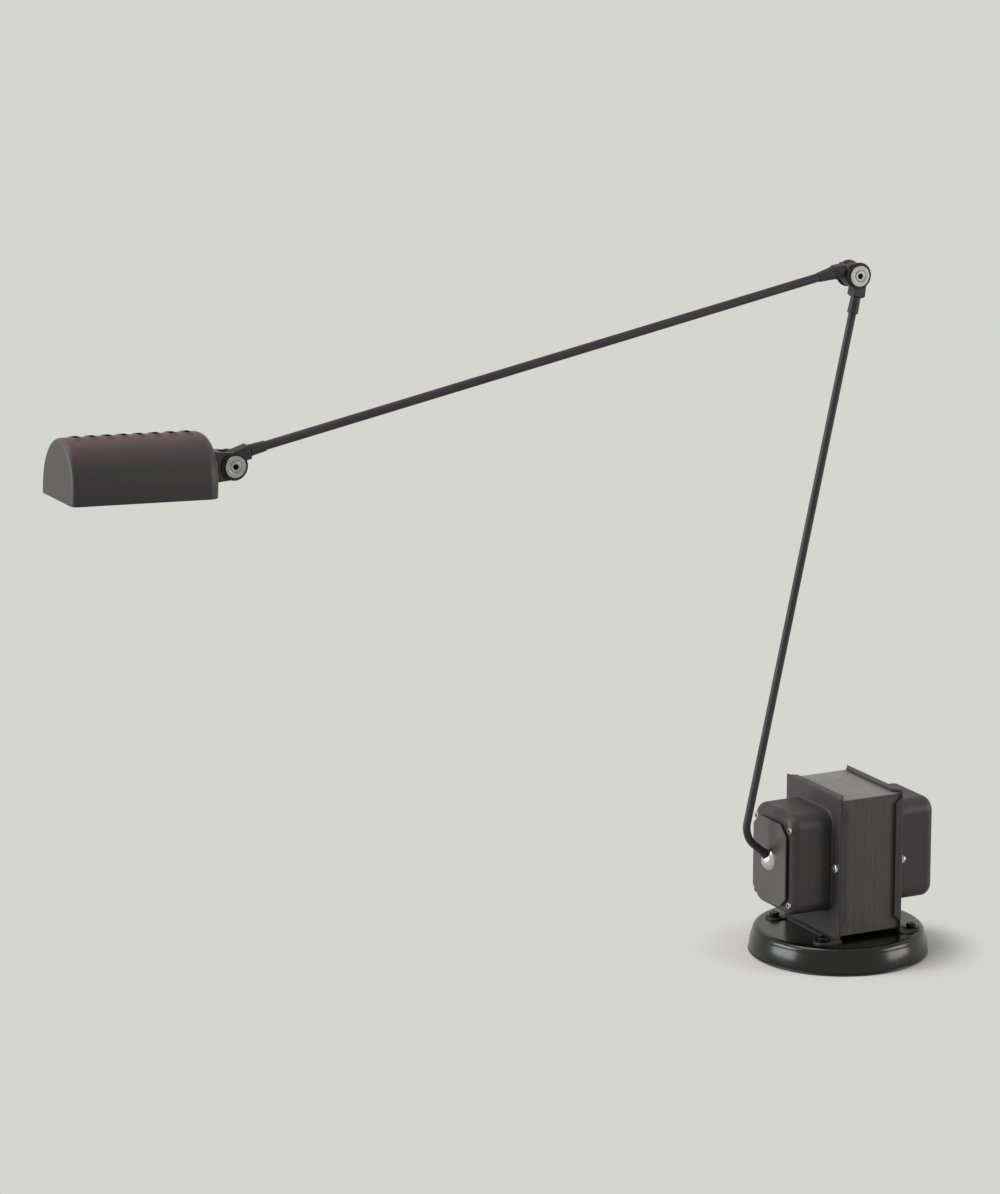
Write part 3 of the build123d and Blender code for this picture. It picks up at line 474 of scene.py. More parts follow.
@dataclass(frozen=True)
class LaminationSteel:
    """Varnished edges of a lamination stack: each sheet slightly lighter or darker.

    Faces that look up are painted paler in patches: a painted reflection of the light above.
    """

    name: str
    light: Rgb
    dark: Rgb
    top_sheen: Rgb
    pitch_mm: float = 0.5

    def build(self) -> bpy.types.Material:
        """Build the material.

        Returns:
            The material.
        """
        n = Nodes(self.name)
        across = n.points(stretch=(1.0, 0.02, 0.02))
        sheets = n.noise(across, 1 / (self.pitch_mm * MM), 1.0, 0.5)
        bands = n.noise(across, 0.15 / (self.pitch_mm * MM), 2.0)
        cloud = n.noise(n.points(), 45.0, 4.0)
        tone = n.math("ADD", n.math("MULTIPLY", sheets, 0.3), n.math("MULTIPLY", bands, 0.2))
        tone = n.math("ADD", tone, n.math("MULTIPLY", cloud, 0.5))
        edges = n.mix(n.spread(tone, 0, 1, 0.34, 0.66), self.dark, self.light)
        # painted reflection: faces that look up are painted pale, as if reflecting the light above
        top_sheen_mask = n.math("MULTIPLY", n.upward(0.85, 0.98), n.spread(cloud, 0.8, 1.0))
        n.feed(Base_Color=n.mix(top_sheen_mask, edges, self.top_sheen))
        n.feed(Roughness=n.spread(n.noise(n.points(), 90.0, 4.0), 0.46, 0.6))
        n.feed(Normal=n.bump(n.noise(n.points(), 1500.0, 3.0), 0.02))
        n.set(Specular_IOR_Level=0.35, Coat_Weight=0.12, Coat_Roughness=0.45)
        return n.material


@dataclass(frozen=True)
class TurnedMetal:
    """Face-turned metal: concentric marks about an axis along Y through a point.

    A ring pattern of scale 1 has rings_per_unit rings in each unit of length.
    """

    name: str
    colour: Rgb
    centre: Vec
    pitch_mm: float = 0.16
    rough: tuple[float, float] = (0.44, 0.5)
    depth_mm: float = 0.001
    rings_per_unit: float = 3.18

    def build(self) -> bpy.types.Material:
        """Build the material.

        Returns:
            The material.
        """
        n = Nodes(self.name)
        points = n.points(self.centre)
        wave = n.add("TexWave")
        wave.wave_type = "RINGS"
        wave.rings_direction = "Y"
        wave.inputs["Scale"].default_value = 1 / (self.pitch_mm * MM) / self.rings_per_unit
        wave.inputs["Distortion"].default_value = 0.5
        n.link(points, wave.inputs["Vector"])
        darker = tuple(c * 0.9 for c in self.colour)
        cloud = n.noise(points, 420.0, 2.0)
        n.feed(Base_Color=n.mix(n.spread(cloud, 0, 1), darker, self.colour))
        n.feed(Roughness=n.spread(cloud, *self.rough))
        n.feed(Normal=n.bump(wave.outputs["Fac"], self.depth_mm, 0.7))
        n.set(Metallic=1.0)
        return n.material


@dataclass(frozen=True)
class WorkedMetal:
    """Plated or bare metal with fine grain and small colour changes, darker in random patches."""

    name: str
    colour: Rgb
    rough: tuple[float, float] = (0.25, 0.42)
    grain_scale: float = 1500.0
    grain_mm: float = 0.006
    tint: float = 0.75

    def build(self) -> bpy.types.Material:
        """Build the material.

        Returns:
            The material.
        """
        n = Nodes(self.name)
        points = n.points()
        darker = tuple(c * self.tint for c in self.colour)
        cloud = n.noise(points, 260.0, 4.0)
        n.feed(Base_Color=n.mix(n.spread(cloud, 0, 1), darker, self.colour))
        n.feed(Roughness=n.spread(n.noise(points, 500.0, 3.0), *self.rough))
        n.feed(Normal=n.bump(n.noise(points, self.grain_scale, 2.0), self.grain_mm))
        n.set(Metallic=1.0)
        return n.material


@dataclass(frozen=True)
class Moulded:
    """Moulded plastic, rubber or ceramic with a fine eroded grain."""

    name: str
    colour: Rgb
    rough: tuple[float, float] = (0.45, 0.6)
    grain_scale: float = 1800.0
    grain_mm: float = 0.012
    lift: float = 0.012

    def build(self) -> bpy.types.Material:
        """Build the material.

        Returns:
            The material.
        """
        n = Nodes(self.name)
        points = n.points()
        lighter = tuple(c + self.lift for c in self.colour)
        n.feed(Base_Color=n.mix(n.spread(n.noise(points, 120.0, 4.0), 0, 1), self.colour, lighter))
        n.feed(Roughness=n.spread(n.noise(points, 300.0, 3.0), *self.rough))
        n.feed(Normal=n.bump(n.noise(points, self.grain_scale, 2.0), self.grain_mm))
        return n.material


@dataclass(frozen=True)
class ClearGlass:
    """Clear quartz glass of the bulb with a faint haze."""

    name: str

    def build(self) -> bpy.types.Material:
        """Build the material.

        Returns:
            The material.
        """
        n = Nodes(self.name)
        points = n.points()
        cool, clear = (0.93, 0.95, 0.97), (0.99, 0.99, 1.0)
        n.feed(Base_Color=n.mix(n.noise(points, 80.0, 3.0), cool, clear))
        n.feed(Roughness=n.spread(n.noise(points, 150.0, 3.0), 0.02, 0.08))
        n.feed(Normal=n.bump(n.noise(points, 200.0, 1.0), 0.004))
        n.set(Transmission_Weight=1.0, IOR=1.46)
        return n.material


def pivot(joint: str) -> Vec:
    """Pivot point of a joint, in metres."""
    return tuple(JOINTS[joint]["pos_m"])


class Paint(Enum):
    """The lamp's finishes by use."""

    BASE = GlossEnamel("base_enamel", rgb(6, 6, 6), rough=(0.2, 0.27), specular=0.38, coat=0.1)
    BELL = Lacquer("bell_lacquer", rgb(67, 65, 66), rgb(59, 57, 58))
    ARM = Lacquer("arm_lacquer", rgb(60, 58, 59), rgb(50, 48, 50), rough=(0.45, 0.58))
    # the head's top is painted lighter and warmer: painted light from above
    HEAD = Lacquer("head_lacquer", rgb(66, 62, 63), rgb(57, 54, 55), rough=(0.4, 0.5),
                   painted_top_light=rgb(92, 76, 76))
    PLATE = Lacquer("plate_lacquer", rgb(90, 88, 86), rgb(80, 78, 76), rough=(0.24, 0.34),
                    specular=0.3)
    # the third colour is a painted reflection on the stack's top, not a colour of its own
    STACK = LaminationSteel("lamination_edges", rgb(90, 88, 85), rgb(72, 71, 68),
                            rgb(160, 159, 156))
    DOME = WorkedMetal("socket_nickel", rgb(196, 196, 195), rough=(0.36, 0.42), grain_mm=0.002,
                       tint=0.9)
    STEEL = WorkedMetal("zinc_plate", rgb(168, 168, 165))
    NICKEL = WorkedMetal("nickel_plate", rgb(190, 188, 184), rough=(0.18, 0.3))
    FACE_SCREW = WorkedMetal("pale_zinc", rgb(176, 175, 172), rough=(0.35, 0.45))
    BLACKED = WorkedMetal("blackened_steel", rgb(40, 40, 39), rough=(0.2, 0.3))
    BRASS = WorkedMetal("tinted_brass", rgb(226, 222, 206), rough=(0.25, 0.38))
    OXIDE = WorkedMetal("oxide_pin", rgb(20, 20, 20), rough=(0.5, 0.65))
    IRON = WorkedMetal("grey_iron", rgb(96, 95, 94), rough=(0.6, 0.75), grain_mm=0.05)
    COPPER = WorkedMetal("winding_copper", rgb(190, 110, 70), rough=(0.3, 0.45))
    MIRROR = WorkedMetal("reflector_aluminium", rgb(226, 226, 226), rough=(0.12, 0.22))
    TUNGSTEN = WorkedMetal("tungsten_wire", rgb(120, 116, 112), rough=(0.35, 0.5))
    PLASTIC = Moulded("black_plastic", rgb(34, 34, 35))
    RUBBER = Moulded("pad_rubber", rgb(36, 35, 34), rough=(0.7, 0.85), grain_mm=0.03)
    RING = Moulded("friction_ring", rgb(16, 14, 14), rough=(0.72, 0.82), lift=0.003)
    CERAMIC = Moulded("holder_ceramic", rgb(222, 219, 208), rough=(0.5, 0.62), lift=0.03)
    GLASS = ClearGlass("bulb_glass")
    ELBOW_DISC = TurnedMetal("elbow_disc", rgb(156, 156, 156), pivot("elbow"))
    HEAD_DISC = TurnedMetal("head_disc", rgb(150, 150, 150), pivot("head_tilt"))


@cache
def material_of(paint: Paint) -> bpy.types.Material:
    """Material of a finish, built once."""
    return paint.value.build()


def dress(obj: bpy.types.Object, paint: Paint) -> None:
    """Give a piece one finish on all of its faces."""
    obj.data.materials.clear()
    obj.data.materials.append(material_of(paint))


def dress_nodes(paint: Paint, *names: str) -> None:
    """Give CAD nodes one finish.

    Args:
        paint: the finish.
        names: the nodes' names.
    """
    for name in names:
        dress(NODES[name], paint)
        log.info("node %s wears %s", name, paint.value.name)


# ---------------------------------------------------------------- stage, light and camera
@dataclass(frozen=True)
class SoftLamp:
    """Soft rectangular lamp, with places and size in metres and its power in watts."""

    name: str
    place: Vec
    aim: Vec
    size: tuple[float, float]
    power: float
    tint: Rgb

    def build(self) -> None:
        """Hang the lamp at its place, facing the point that it lights."""
        data = bpy.data.lights.new(self.name, "AREA")
        data.shape = "RECTANGLE"
        data.size, data.size_y = self.size
        data.energy = self.power
        data.color = self.tint
        obj = bpy.data.objects.new(self.name, data)
        obj.location = self.place
        ahead = Vector(self.aim) - Vector(self.place)
        obj.rotation_euler = ahead.to_track_quat("-Z", "Y").to_euler()
        bpy.context.scene.collection.objects.link(obj)


@dataclass
class Studio:
    """Pale floor and surroundings, soft lamps and the camera of the photograph."""

    background: Rgb = rgb(213, 214, 208)
    paper: float = 0.78
    bounce: float = 0.25
    shadow_radius: float = 0.082
    fade_radius: float = 0.022
    floor_m: float = 8.0
    floor_sides: int = 96
    surround: float = 0.26
    surround_tint: Rgb = (0.96, 0.98, 1.0)
    camera_mm: Vec = (-1565.07, -2584.02, 953.67)
    heading_deg: float = -27.0
    pitch_deg: float = 13.375
    lens_mm: float = 145.0
    sensor_mm: float = 36.0
    sight_m: float = 60.0
    lamps: tuple[SoftLamp, ...] = (
        SoftLamp("top", (-0.9, 0.3, 2.1), (-0.2, 0, 0.2), (1.0, 1.0), 19, (1.0, 0.91, 0.89)),
        SoftLamp("left", (-2.2, 0.6, 0.68), (-0.2, 0, 0.1), (1.5, 1.3), 44, (0.98, 0.99, 1.0)),
        SoftLamp("right", (1.85, -1.4, 0.68), (-0.1, 0, 0.1), (1.4, 1.3), 33,
                 (1.0, 0.98, 0.97)))

    def world(self) -> None:
        """Surroundings: the background's colour for what is seen, softer light for the rest."""
        world = bpy.data.worlds.new("studio")
        bpy.context.scene.world = world
        world.use_nodes = True
        tree = world.node_tree
        tree.nodes.clear()
        seen = tree.nodes.new("ShaderNodeBackground")
        seen.inputs["Color"].default_value = (*self.background, 1)
        soft = tree.nodes.new("ShaderNodeBackground")
        soft.inputs["Color"].default_value = (*self.surround_tint, 1)
        soft.inputs["Strength"].default_value = self.surround
        mix = tree.nodes.new("ShaderNodeMixShader")
        tree.links.new(self.seen_ray(tree), mix.inputs[0])
        tree.links.new(soft.outputs[0], mix.inputs[1])
        tree.links.new(seen.outputs[0], mix.inputs[2])
        tree.links.new(mix.outputs[0], tree.nodes.new("ShaderNodeOutputWorld").inputs[0])

    def seen_ray(self, tree: bpy.types.NodeTree) -> Socket:
        """1 for rays from the camera, in a reflection or through glass.

        Args:
            tree: the node tree.

        Returns:
            The socket.
        """
        path = tree.nodes.new("ShaderNodeLightPath")
        total = path.outputs["Is Camera Ray"]
        for name in ("Is Glossy Ray", "Is Transmission Ray"):
            add = tree.nodes.new("ShaderNodeMath")
            add.operation = "MAXIMUM"
            tree.links.new(total, add.inputs[0])
            tree.links.new(path.outputs[name], add.inputs[1])
            total = add.outputs[0]
        return total

    def floor_paper(self) -> bpy.types.Material:
        """Paper that takes the shadow near the lamp, plain background beyond.

        The share of plain background rises smoothly with the distance from the base's centre.
        From below the floor is clear, so that the lamp's underside can be seen.

        Returns:
            The material.
        """
        n = Nodes("floor_paper")
        tint = tuple(c / self.background[0] * self.paper for c in self.background)
        dull = tuple(c * self.bounce for c in tint)
        n.feed(Base_Color=n.mix(self.seen_ray(n.tree), dull, tint))
        n.set(Roughness=0.9, Specular_IOR_Level=0.0)
        length = n.add("VectorMath")
        length.operation = "LENGTH"
        n.link(n.points(), length.inputs[0])
        far = n.add("MapRange")
        far.interpolation_type = "SMOOTHSTEP"
        far.inputs["From Min"].default_value = self.shadow_radius - self.fade_radius
        far.inputs["From Max"].default_value = self.shadow_radius + self.fade_radius
        n.link(length.outputs["Value"], far.inputs["Value"])
        plain = n.add("Emission")
        plain.inputs["Color"].default_value = (*self.background, 1)
        share = n.math("MULTIPLY", far.outputs["Result"], self.seen_ray(n.tree))
        above = n.blend(share, n.shader.outputs[0], plain.outputs[0])
        clear = n.add("BsdfTransparent").outputs[0]
        whole = n.blend(n.add("NewGeometry").outputs["Backfacing"], above, clear)
        n.link(whole, n.output.inputs[0])
        return n.material

    def floor(self) -> None:
        """Round floor at the height of the table: (r cos a, r sin a, 0)."""
        angle = np.linspace(0, 2 * np.pi, self.floor_sides + 1)[:-1]
        points = np.stack([self.floor_m * np.cos(angle), self.floor_m * np.sin(angle),
                           np.zeros(self.floor_sides)], axis=1)
        mesh = bpy.data.meshes.new("floor")
        mesh.from_pydata(points.tolist(), [], [tuple(range(self.floor_sides))])
        obj = bpy.data.objects.new("floor", mesh)
        bpy.context.scene.collection.objects.link(obj)
        obj.data.materials.append(self.floor_paper())

    def camera(self) -> None:
        """Camera at the photograph's place."""
        data = bpy.data.cameras.new("photo")
        data.lens = self.lens_mm
        data.sensor_width = self.sensor_mm
        data.sensor_fit = "AUTO"
        data.clip_end = self.sight_m
        obj = bpy.data.objects.new("photo", data)
        obj.location = [c * MM for c in self.camera_mm]
        obj.rotation_euler = (math.radians(90 - self.pitch_deg), 0,
                              math.radians(self.heading_deg))
        bpy.context.scene.collection.objects.link(obj)
        bpy.context.scene.camera = obj

    def build(self) -> None:
        """Set up everything around the lamp."""
        self.world()
        self.floor()
        for lamp in self.lamps:
            lamp.build()
        self.camera()
        bpy.context.scene.view_settings.view_transform = "Standard"


# ---------------------------------------------------------------- base and transformer
@dataclass
class DiscCover:
    """Pressed cover of the base disc: a thin shell with a slanted side and a rolled foot."""

    edge_r: float = 4.0
    wall: float = 1.6
    slant: float = 2.2
    roll: float = 0.5
    roll_h: float = 0.9
    groove_h: float = 0.3  # from the roll's top to the side's foot
    step_in: float = 0.2  # point of the groove, inside the foot's radius
    step_up: float = 0.1  # and above the roll
    cut: float = 0.4  # at the wall's lower inner edge
    inner_r: float = 0.8  # at the ceiling's edge
    top_rings: tuple[float, ...] = (0.0, 20.0, 46.0)
    edge_steps: int = 14
    side_steps: int = 12
    roll_steps: int = 9
    sides: int = 192

    def profile(self) -> np.ndarray:
        """Section of the shell, from the top's middle round the foot to the ceiling's middle.

        The side bulges a little: r = r_top + slant (1 - t^2) for t from 1 under the rounded top
        edge to 0 above the rolled foot. The roll stands out from it as an ellipse, roll wide
        and roll_h / 2 high.

        Returns:
            Rows of radius and height in millimetres.
        """
        low, high = box_mm("base_cover")
        foot = high[0] - self.roll
        side = foot - self.slant
        t = np.radians(np.linspace(90, -90, self.roll_steps))
        rolled = np.stack([foot + self.roll * np.cos(t),
                           low[2] + self.roll_h / 2 * (1 + np.sin(t))], axis=1)
        down = np.linspace(1, 0, self.side_steps)[1:]
        top, groove = high[2] - self.edge_r, low[2] + self.roll_h + self.groove_h
        barrel = np.stack([side + self.slant * (1 - down ** 2),
                           groove + (top - groove) * down], axis=1)
        inner = side - self.wall
        ceiling = high[2] - self.wall
        face = [(r, high[2]) for r in self.top_rings]
        edge = arc((side - self.edge_r, top), self.edge_r, 90, 0, self.edge_steps)
        step = [(foot - self.step_in, low[2] + self.roll_h + self.step_up)]
        inside = [(inner + self.cut, low[2]), (inner, low[2] + self.cut),
                  (inner, ceiling - self.inner_r), (inner - self.inner_r, ceiling),
                  (0.0, ceiling)]
        return np.concatenate([face, edge, barrel, step, rolled, inside])

    def build(self, body: str) -> None:
        """Build and dress the cover; it stands for the plain one.

        Args:
            body: the body that carries it.
        """
        points, faces = revolve(self.profile(), self.sides)
        cover = add_piece("disc_cover", points, faces, body)
        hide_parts("base_cover")
        dress(cover, Paint.BASE)


def revolve(profile: np.ndarray, sides: int) -> tuple[np.ndarray, Faces]:
    """Closed surface of revolution whose profile starts and ends on the axis.

    Args:
        profile: rows of radius and height, first and last radius 0, outside on the left.
        sides: number of sides.

    Returns:
        Points and faces.
    """
    rings = lathe(profile[1:-1], sides)
    count = len(profile) - 2
    points = np.concatenate([rings, [(0, 0, profile[0, 1]), (0, 0, profile[-1, 1])]])
    j = np.arange(sides)
    k = (j + 1) % sides
    top = np.stack([np.full(sides, count * sides), j, k], axis=1)
    last = (count - 1) * sides
    end = np.stack([last + k, last + j, np.full(sides, count * sides + 1)], axis=1)
    quads = [(a, d, c, b) for a, b, c, d in grid_faces(count, sides, wrap_columns=True)]
    return points, quads + [tuple(f) for f in np.concatenate([top, end]).tolist()]


@dataclass
class FootPad:
    """Rubber pad with concentric ribs under the disc."""

    rib_pitch: float = 2.6
    groove: float = 0.5
    ribbed_from: float = 30.0
    rim: float = 1.2  # smooth band outside the ribs
    top_cut: float = 0.3
    foot_h: float = 0.7  # height and width of the cut at the lower edge
    foot_in: float = 0.5
    middle_in: float = 1.5  # from the last rib to the plain middle
    steps: int = 12  # points on each rib
    sides: int = 128

    def profile(self) -> np.ndarray:
        """Section of the pad, from its top's middle round the edge to its underside's middle.

        The underside lies at z = groove (1 - |cos(pi (r - r0) / pitch)|)^2 where it is ribbed,
        with r0 the radius at which the ribs begin.

        Returns:
            Rows of radius and height in millimetres.
        """
        low, high = box_mm("base_pad")
        r = np.arange(high[0] - self.rim, self.ribbed_from, -self.rib_pitch / self.steps)
        phase = np.abs(np.sin(np.pi * (r - r[0]) / self.rib_pitch + np.pi / 2))
        ribs = np.stack([r, low[2] + self.groove * (1 - phase) ** 2], axis=1)
        return np.concatenate([
            [(0.0, high[2]), (high[0] - self.top_cut, high[2]),
             (high[0], high[2] - self.top_cut), (high[0], low[2] + self.foot_h),
             (high[0] - self.foot_in, low[2])],
            ribs, [(self.ribbed_from - self.middle_in, self.groove), (0.0, self.groove)]])

    def build(self, body: str) -> None:
        """Build and dress the pad; it stands for the plain one.

        Args:
            body: the body that carries it.
        """
        points, faces = revolve(self.profile(), self.sides)
        pad = add_piece("ribbed_pad", points, faces, body)
        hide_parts("base_pad")
        dress(pad, Paint.RUBBER)


@dataclass
class LaminationStack:
    """Stack of punched sheets, each with slightly different edges, and two winding windows."""

    sheets: int = 90
    gap: float = 0.07
    nick: float = 0.10
    uneven: float = 0.07
    corner: float = 0.5
    leg: float = 24.0
    side_leg: float = 10.1
    yoke: float = 16.5
    seed: int = 7

    def outline(self, half_y: float, half_z: float) -> tuple[np.ndarray, np.ndarray]:
        """Outline of one sheet with cut corners, anticlockwise as seen from +X.

        Args:
            half_y: half its width.
            half_z: half its height.

        Returns:
            Rows of y and z, and the outward direction of each row.
        """
        window_y = (self.leg / 2, half_y - self.side_leg)
        window_z = half_z - self.yoke
        y = [half_y, half_y, half_y, half_y]
        z = [self.corner - half_z, -window_z, window_z, half_z - self.corner]
        rows = list(zip(y, z))
        top = [half_y - self.corner, window_y[1], window_y[0]]
        top = top + [-v for v in reversed(top)]
        rows += [(v, half_z) for v in top]
        rows += [(-half_y, v) for v in reversed(z)]
        rows += [(-v, -half_z) for v in top]
        points = np.array(rows)
        away = np.zeros_like(points)
        nearly = 0.01
        for column, half in ((0, half_y), (1, half_z)):
            place = points[:, column]
            away[:, column] = np.where(np.abs(place) > half - nearly, np.sign(place), 0)
        return points, away

    def rings(self) -> np.ndarray:
        """Rings of the outside: for each sheet a nick, its two edges and the next nick.

        Ring k lies at x_k with the outline drawn in by inset_k: the sheet's own offset on its
        edges and the nick's depth between sheets.

        Returns:
            Array of rings, points, 3 in millimetres.
        """
        low, high = box_mm("core_stack")
        middle, half = (low + high) / 2, (high - low) / 2
        outline, away = self.outline(half[1], half[2])
        own = np.random.default_rng(self.seed).uniform(0, self.uneven, self.sheets)
        pitch = 2 * half[0] / self.sheets
        start = low[0] + pitch * np.arange(self.sheets)
        x = np.stack([start, start + self.gap, start + pitch - self.gap], axis=1).ravel()
        inset = np.stack([np.full(self.sheets, self.nick), own, own], axis=1).ravel()
        x, inset = np.append(x, high[0]), np.append(inset, self.nick)
        flat = outline[None] - away[None] * inset[:, None, None] + middle[1:]
        depth = np.broadcast_to(x[:, None, None], (*flat.shape[:2], 1))
        return np.concatenate([depth, flat], axis=2)

    def end_cells(self) -> Faces:
        """Cells of an end face between the outline (0 to 19) and the windows (20 to 27).

        Returns:
            Corner numbers, anticlockwise as seen from +X.
        """
        right, left = (20, 21, 22, 23), (24, 25, 26, 27)
        return [
            (0, 1, right[0], 18, 19), (1, 2, right[1], right[0]), (2, 3, 4, 5, right[1]),
            (5, 6, right[2], right[1]), (right[0], right[3], 17, 18),
            (6, 7, left[1], right[2]), (right[2], left[1], left[0], right[3]),
            (right[3], left[0], 16, 17), (7, 8, left[2], left[1]), (8, 9, 10, 11, left[2]),
            (11, 12, left[3], left[2]), (left[0], left[3], 15, 16), (left[3], 12, 13, 14, 15)]

    def build(self, body: str) -> None:
        """Build and dress the stack; it stands for the plain one.

        The rings' points come first, then the windows' corners on the far and the near end.

        Args:
            body: the body that carries it.
        """
        rings = self.rings()
        count, around = rings.shape[:2]
        low, high = box_mm("core_stack")
        middle, half = (low + high) / 2, (high - low) / 2
        y = np.array([half[1] - self.side_leg] * 2 + [self.leg / 2] * 2)
        z = (half[2] - self.yoke) * np.array([-1, 1, 1, -1])
        right = np.stack([y, z], axis=1)
        left = np.stack([-y[[3, 2, 1, 0]], z], axis=1)
        windows = np.concatenate([right, left]) + middle[1:]
        corners = len(windows)
        ends = [np.column_stack([np.full(corners, x), windows]) for x in (low[0], high[0])]
        points = np.concatenate([rings.reshape(-1, 3), *ends])
        faces = [(a, d, c, b) for a, b, c, d in grid_faces(count, around, wrap_columns=True)]
        base = count * around
        far = np.append(np.arange(around), base + np.arange(corners))
        near = np.append(base - around + np.arange(around),
                         base + corners + np.arange(corners))
        cells = [list(cell) for cell in self.end_cells()]
        faces += [tuple(near[cell].tolist()) for cell in cells]
        faces += [tuple(far[cell[::-1]].tolist()) for cell in cells]
        for window in np.split(base + np.arange(corners), 2):
            beside = np.roll(window, -1)
            walls = np.stack([window, beside, beside + corners, window + corners], axis=1)
            faces += [tuple(wall) for wall in walls.tolist()]
        stack = add_piece("lamination_sheets", points, faces, body, flat=True)
        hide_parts("core_stack")
        dress(stack, Paint.STACK)


@dataclass
class Gland:
    """Ribbed cap and stem of the cable gland on the rear bell."""

    ribs: int = 14
    rib_depth: float = 0.45
    stem_r: float = 4.45
    stem_len: float = 6.0
    bore_r: float = 3.25
    bore_cut: float = 0.5
    cap_edge: float = 1.5
    foot_cut: float = 0.3
    edge_steps: int = 7
    ribs_from: tuple[float, float] = (1.1, 1.6)  # heights between which the ribs rise
    rib_share: tuple[float, ...] = (1.0, 1.0, 0.9, 0.7, 0.4, 0.15)
    sides: int = 168

    def build(self, body: str) -> None:
        """Build and dress the gland; it stands for the plain one.

        The cap's radius is r - share depth sin^2(ribs a / 2), where the share falls from 1 on
        its side to 0 over its rounded edge.

        Args:
            body: the body that carries it.
        """
        low, high = box_mm("cable_gland")
        centre = (low + high) / 2
        radius, length = (high[2] - low[2]) / 2, high[0] - low[0] - self.stem_len
        top = arc((radius - self.cap_edge, length - self.cap_edge), self.cap_edge, 0, 90,
                  self.edge_steps)
        side = [(self.stem_r, -self.stem_len), (self.stem_r, 0), (radius - self.foot_cut, 0),
                (radius, self.foot_cut), *((radius, height) for height in self.ribs_from)]
        bore = [(self.bore_r + self.bore_cut, length), (self.bore_r, length - self.bore_cut),
                (self.bore_r, -self.stem_len)]
        profile = np.concatenate([side, top, bore])
        ribbed = np.zeros(len(profile))
        ribbed[len(side) - 1:][:len(self.rib_share)] = self.rib_share
        grid = lathe(profile, self.sides).reshape(len(profile), self.sides, 3)
        angle = 2 * np.pi * np.arange(self.sides) / self.sides
        cut = self.rib_depth * ribbed[:, None] * np.sin(self.ribs * angle / 2) ** 2
        grid[..., :2] *= (1 - cut / profile[:, :1])[..., None]
        points = turned(grid.reshape(-1, 3), (0, 1, 0), (0, 0, 1), (1, 0, 0),
                        (low[0] + self.stem_len, centre[1], centre[2]))
        faces = grid_faces(len(profile), self.sides, wrap_rows=True, wrap_columns=True)
        gland = add_piece("ribbed_gland", points, faces, body)
        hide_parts("cable_gland")
        dress(gland, Paint.PLASTIC)


@dataclass
class BaseUnit:
    """Base disc, transformer and everything fixed to them."""

    body: str = "base"

    def build(self) -> None:
        """Build and dress the base."""
        DiscCover().build(self.body)
        FootPad().build(self.body)
        LaminationStack().build(self.body)
        Gland().build(self.body)
        dress_nodes(Paint.IRON, "base_ballast")
        dress_nodes(Paint.BELL, "left_bell", "right_bell")
        dress_nodes(Paint.FACE_SCREW, "face_screws")
        dress_nodes(Paint.BLACKED, "foot_screws", "foot_washers")
        dress_nodes(Paint.NICKEL, "through_bolt_nuts")
        dress_nodes(Paint.BRASS, "through_bolts")
        dress_nodes(Paint.PLATE, "socket_plate")
        dress_nodes(Paint.DOME, "swivel_socket")
        dress_nodes(Paint.STEEL, "socket_backing_plate", "socket_screws", "gland_nut")
        dress_nodes(Paint.PLASTIC, "swivel_bush", "switch_housing", "switch_rocker",
                    "terminal_block", "coil_bobbin")
        dress_nodes(Paint.COPPER, "primary_winding", "secondary_winding")


# ---------------------------------------------------------------- arms and pivots
@dataclass
class TurnedDiscs:
    """Pair of face-turned discs on the ends of a pivot pin."""

    node: str
    paint: Paint
    body: str
    hole_r: float = 1.75
    groove_r: float = 3.7
    groove_half: float = 0.7
    groove: float = 0.35
    bevel: float = 0.3
    ridge: float = 0.004
    ridge_pitch: float = 0.4
    face_step: float = 0.05
    hole_rim: float = 0.2
    hole_cut: float = 0.15
    sides: int = 96

    def profile(self, radius: float, thick: float) -> np.ndarray:
        """Section of a disc: back, hole, turned face with its ring groove, bevel and rim.

        The face lies at z = thick - ridge (1 - cos(2 pi r / pitch)) / 2 - groove cos^2 inside
        the ring.

        Args:
            radius: outer radius.
            thick: thickness.

        Returns:
            Rows of radius and height in millimetres.
        """
        r = np.arange(radius - self.bevel, self.hole_r + self.hole_rim, -self.face_step)
        away = np.clip(np.abs(r - self.groove_r) / self.groove_half, 0, 1)
        z = thick - self.groove * np.cos(np.pi / 2 * away) ** 2
        z = z - self.ridge * (1 - np.cos(2 * np.pi * r / self.ridge_pitch)) / 2
        face = np.stack([r, z], axis=1)
        return np.concatenate([
            [(radius, 0.0), (radius, thick - self.bevel)], face,
            [(self.hole_r, thick - self.hole_cut), (self.hole_r, 0.0)]])

    def build(self) -> None:
        """Build and dress both discs; they stand for the plain ones."""
        low, high = box_mm(self.node)
        centre = (low + high) / 2
        radius = (high[0] - low[0]) / 2
        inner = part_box(self.node.replace("caps", "washers"))[1][1] / MM
        thick = high[1] - inner
        profile = self.profile(radius, thick)
        disc = lathe(profile, self.sides)
        faces = grid_faces(len(profile), self.sides, wrap_rows=True, wrap_columns=True)
        away = turned(disc, (-1, 0, 0), (0, 0, 1), (0, 1, 0), (centre[0], inner, centre[2]))
        near = turned(disc, (1, 0, 0), (0, 0, 1), (0, -1, 0), (centre[0], -inner, centre[2]))
        faces = faces + [tuple(k + len(disc) for k in f) for f in faces]
        piece = add_piece(self.node + "_turned", np.concatenate([away, near]), faces, self.body)
        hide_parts(self.node)
        dress(piece, self.paint)


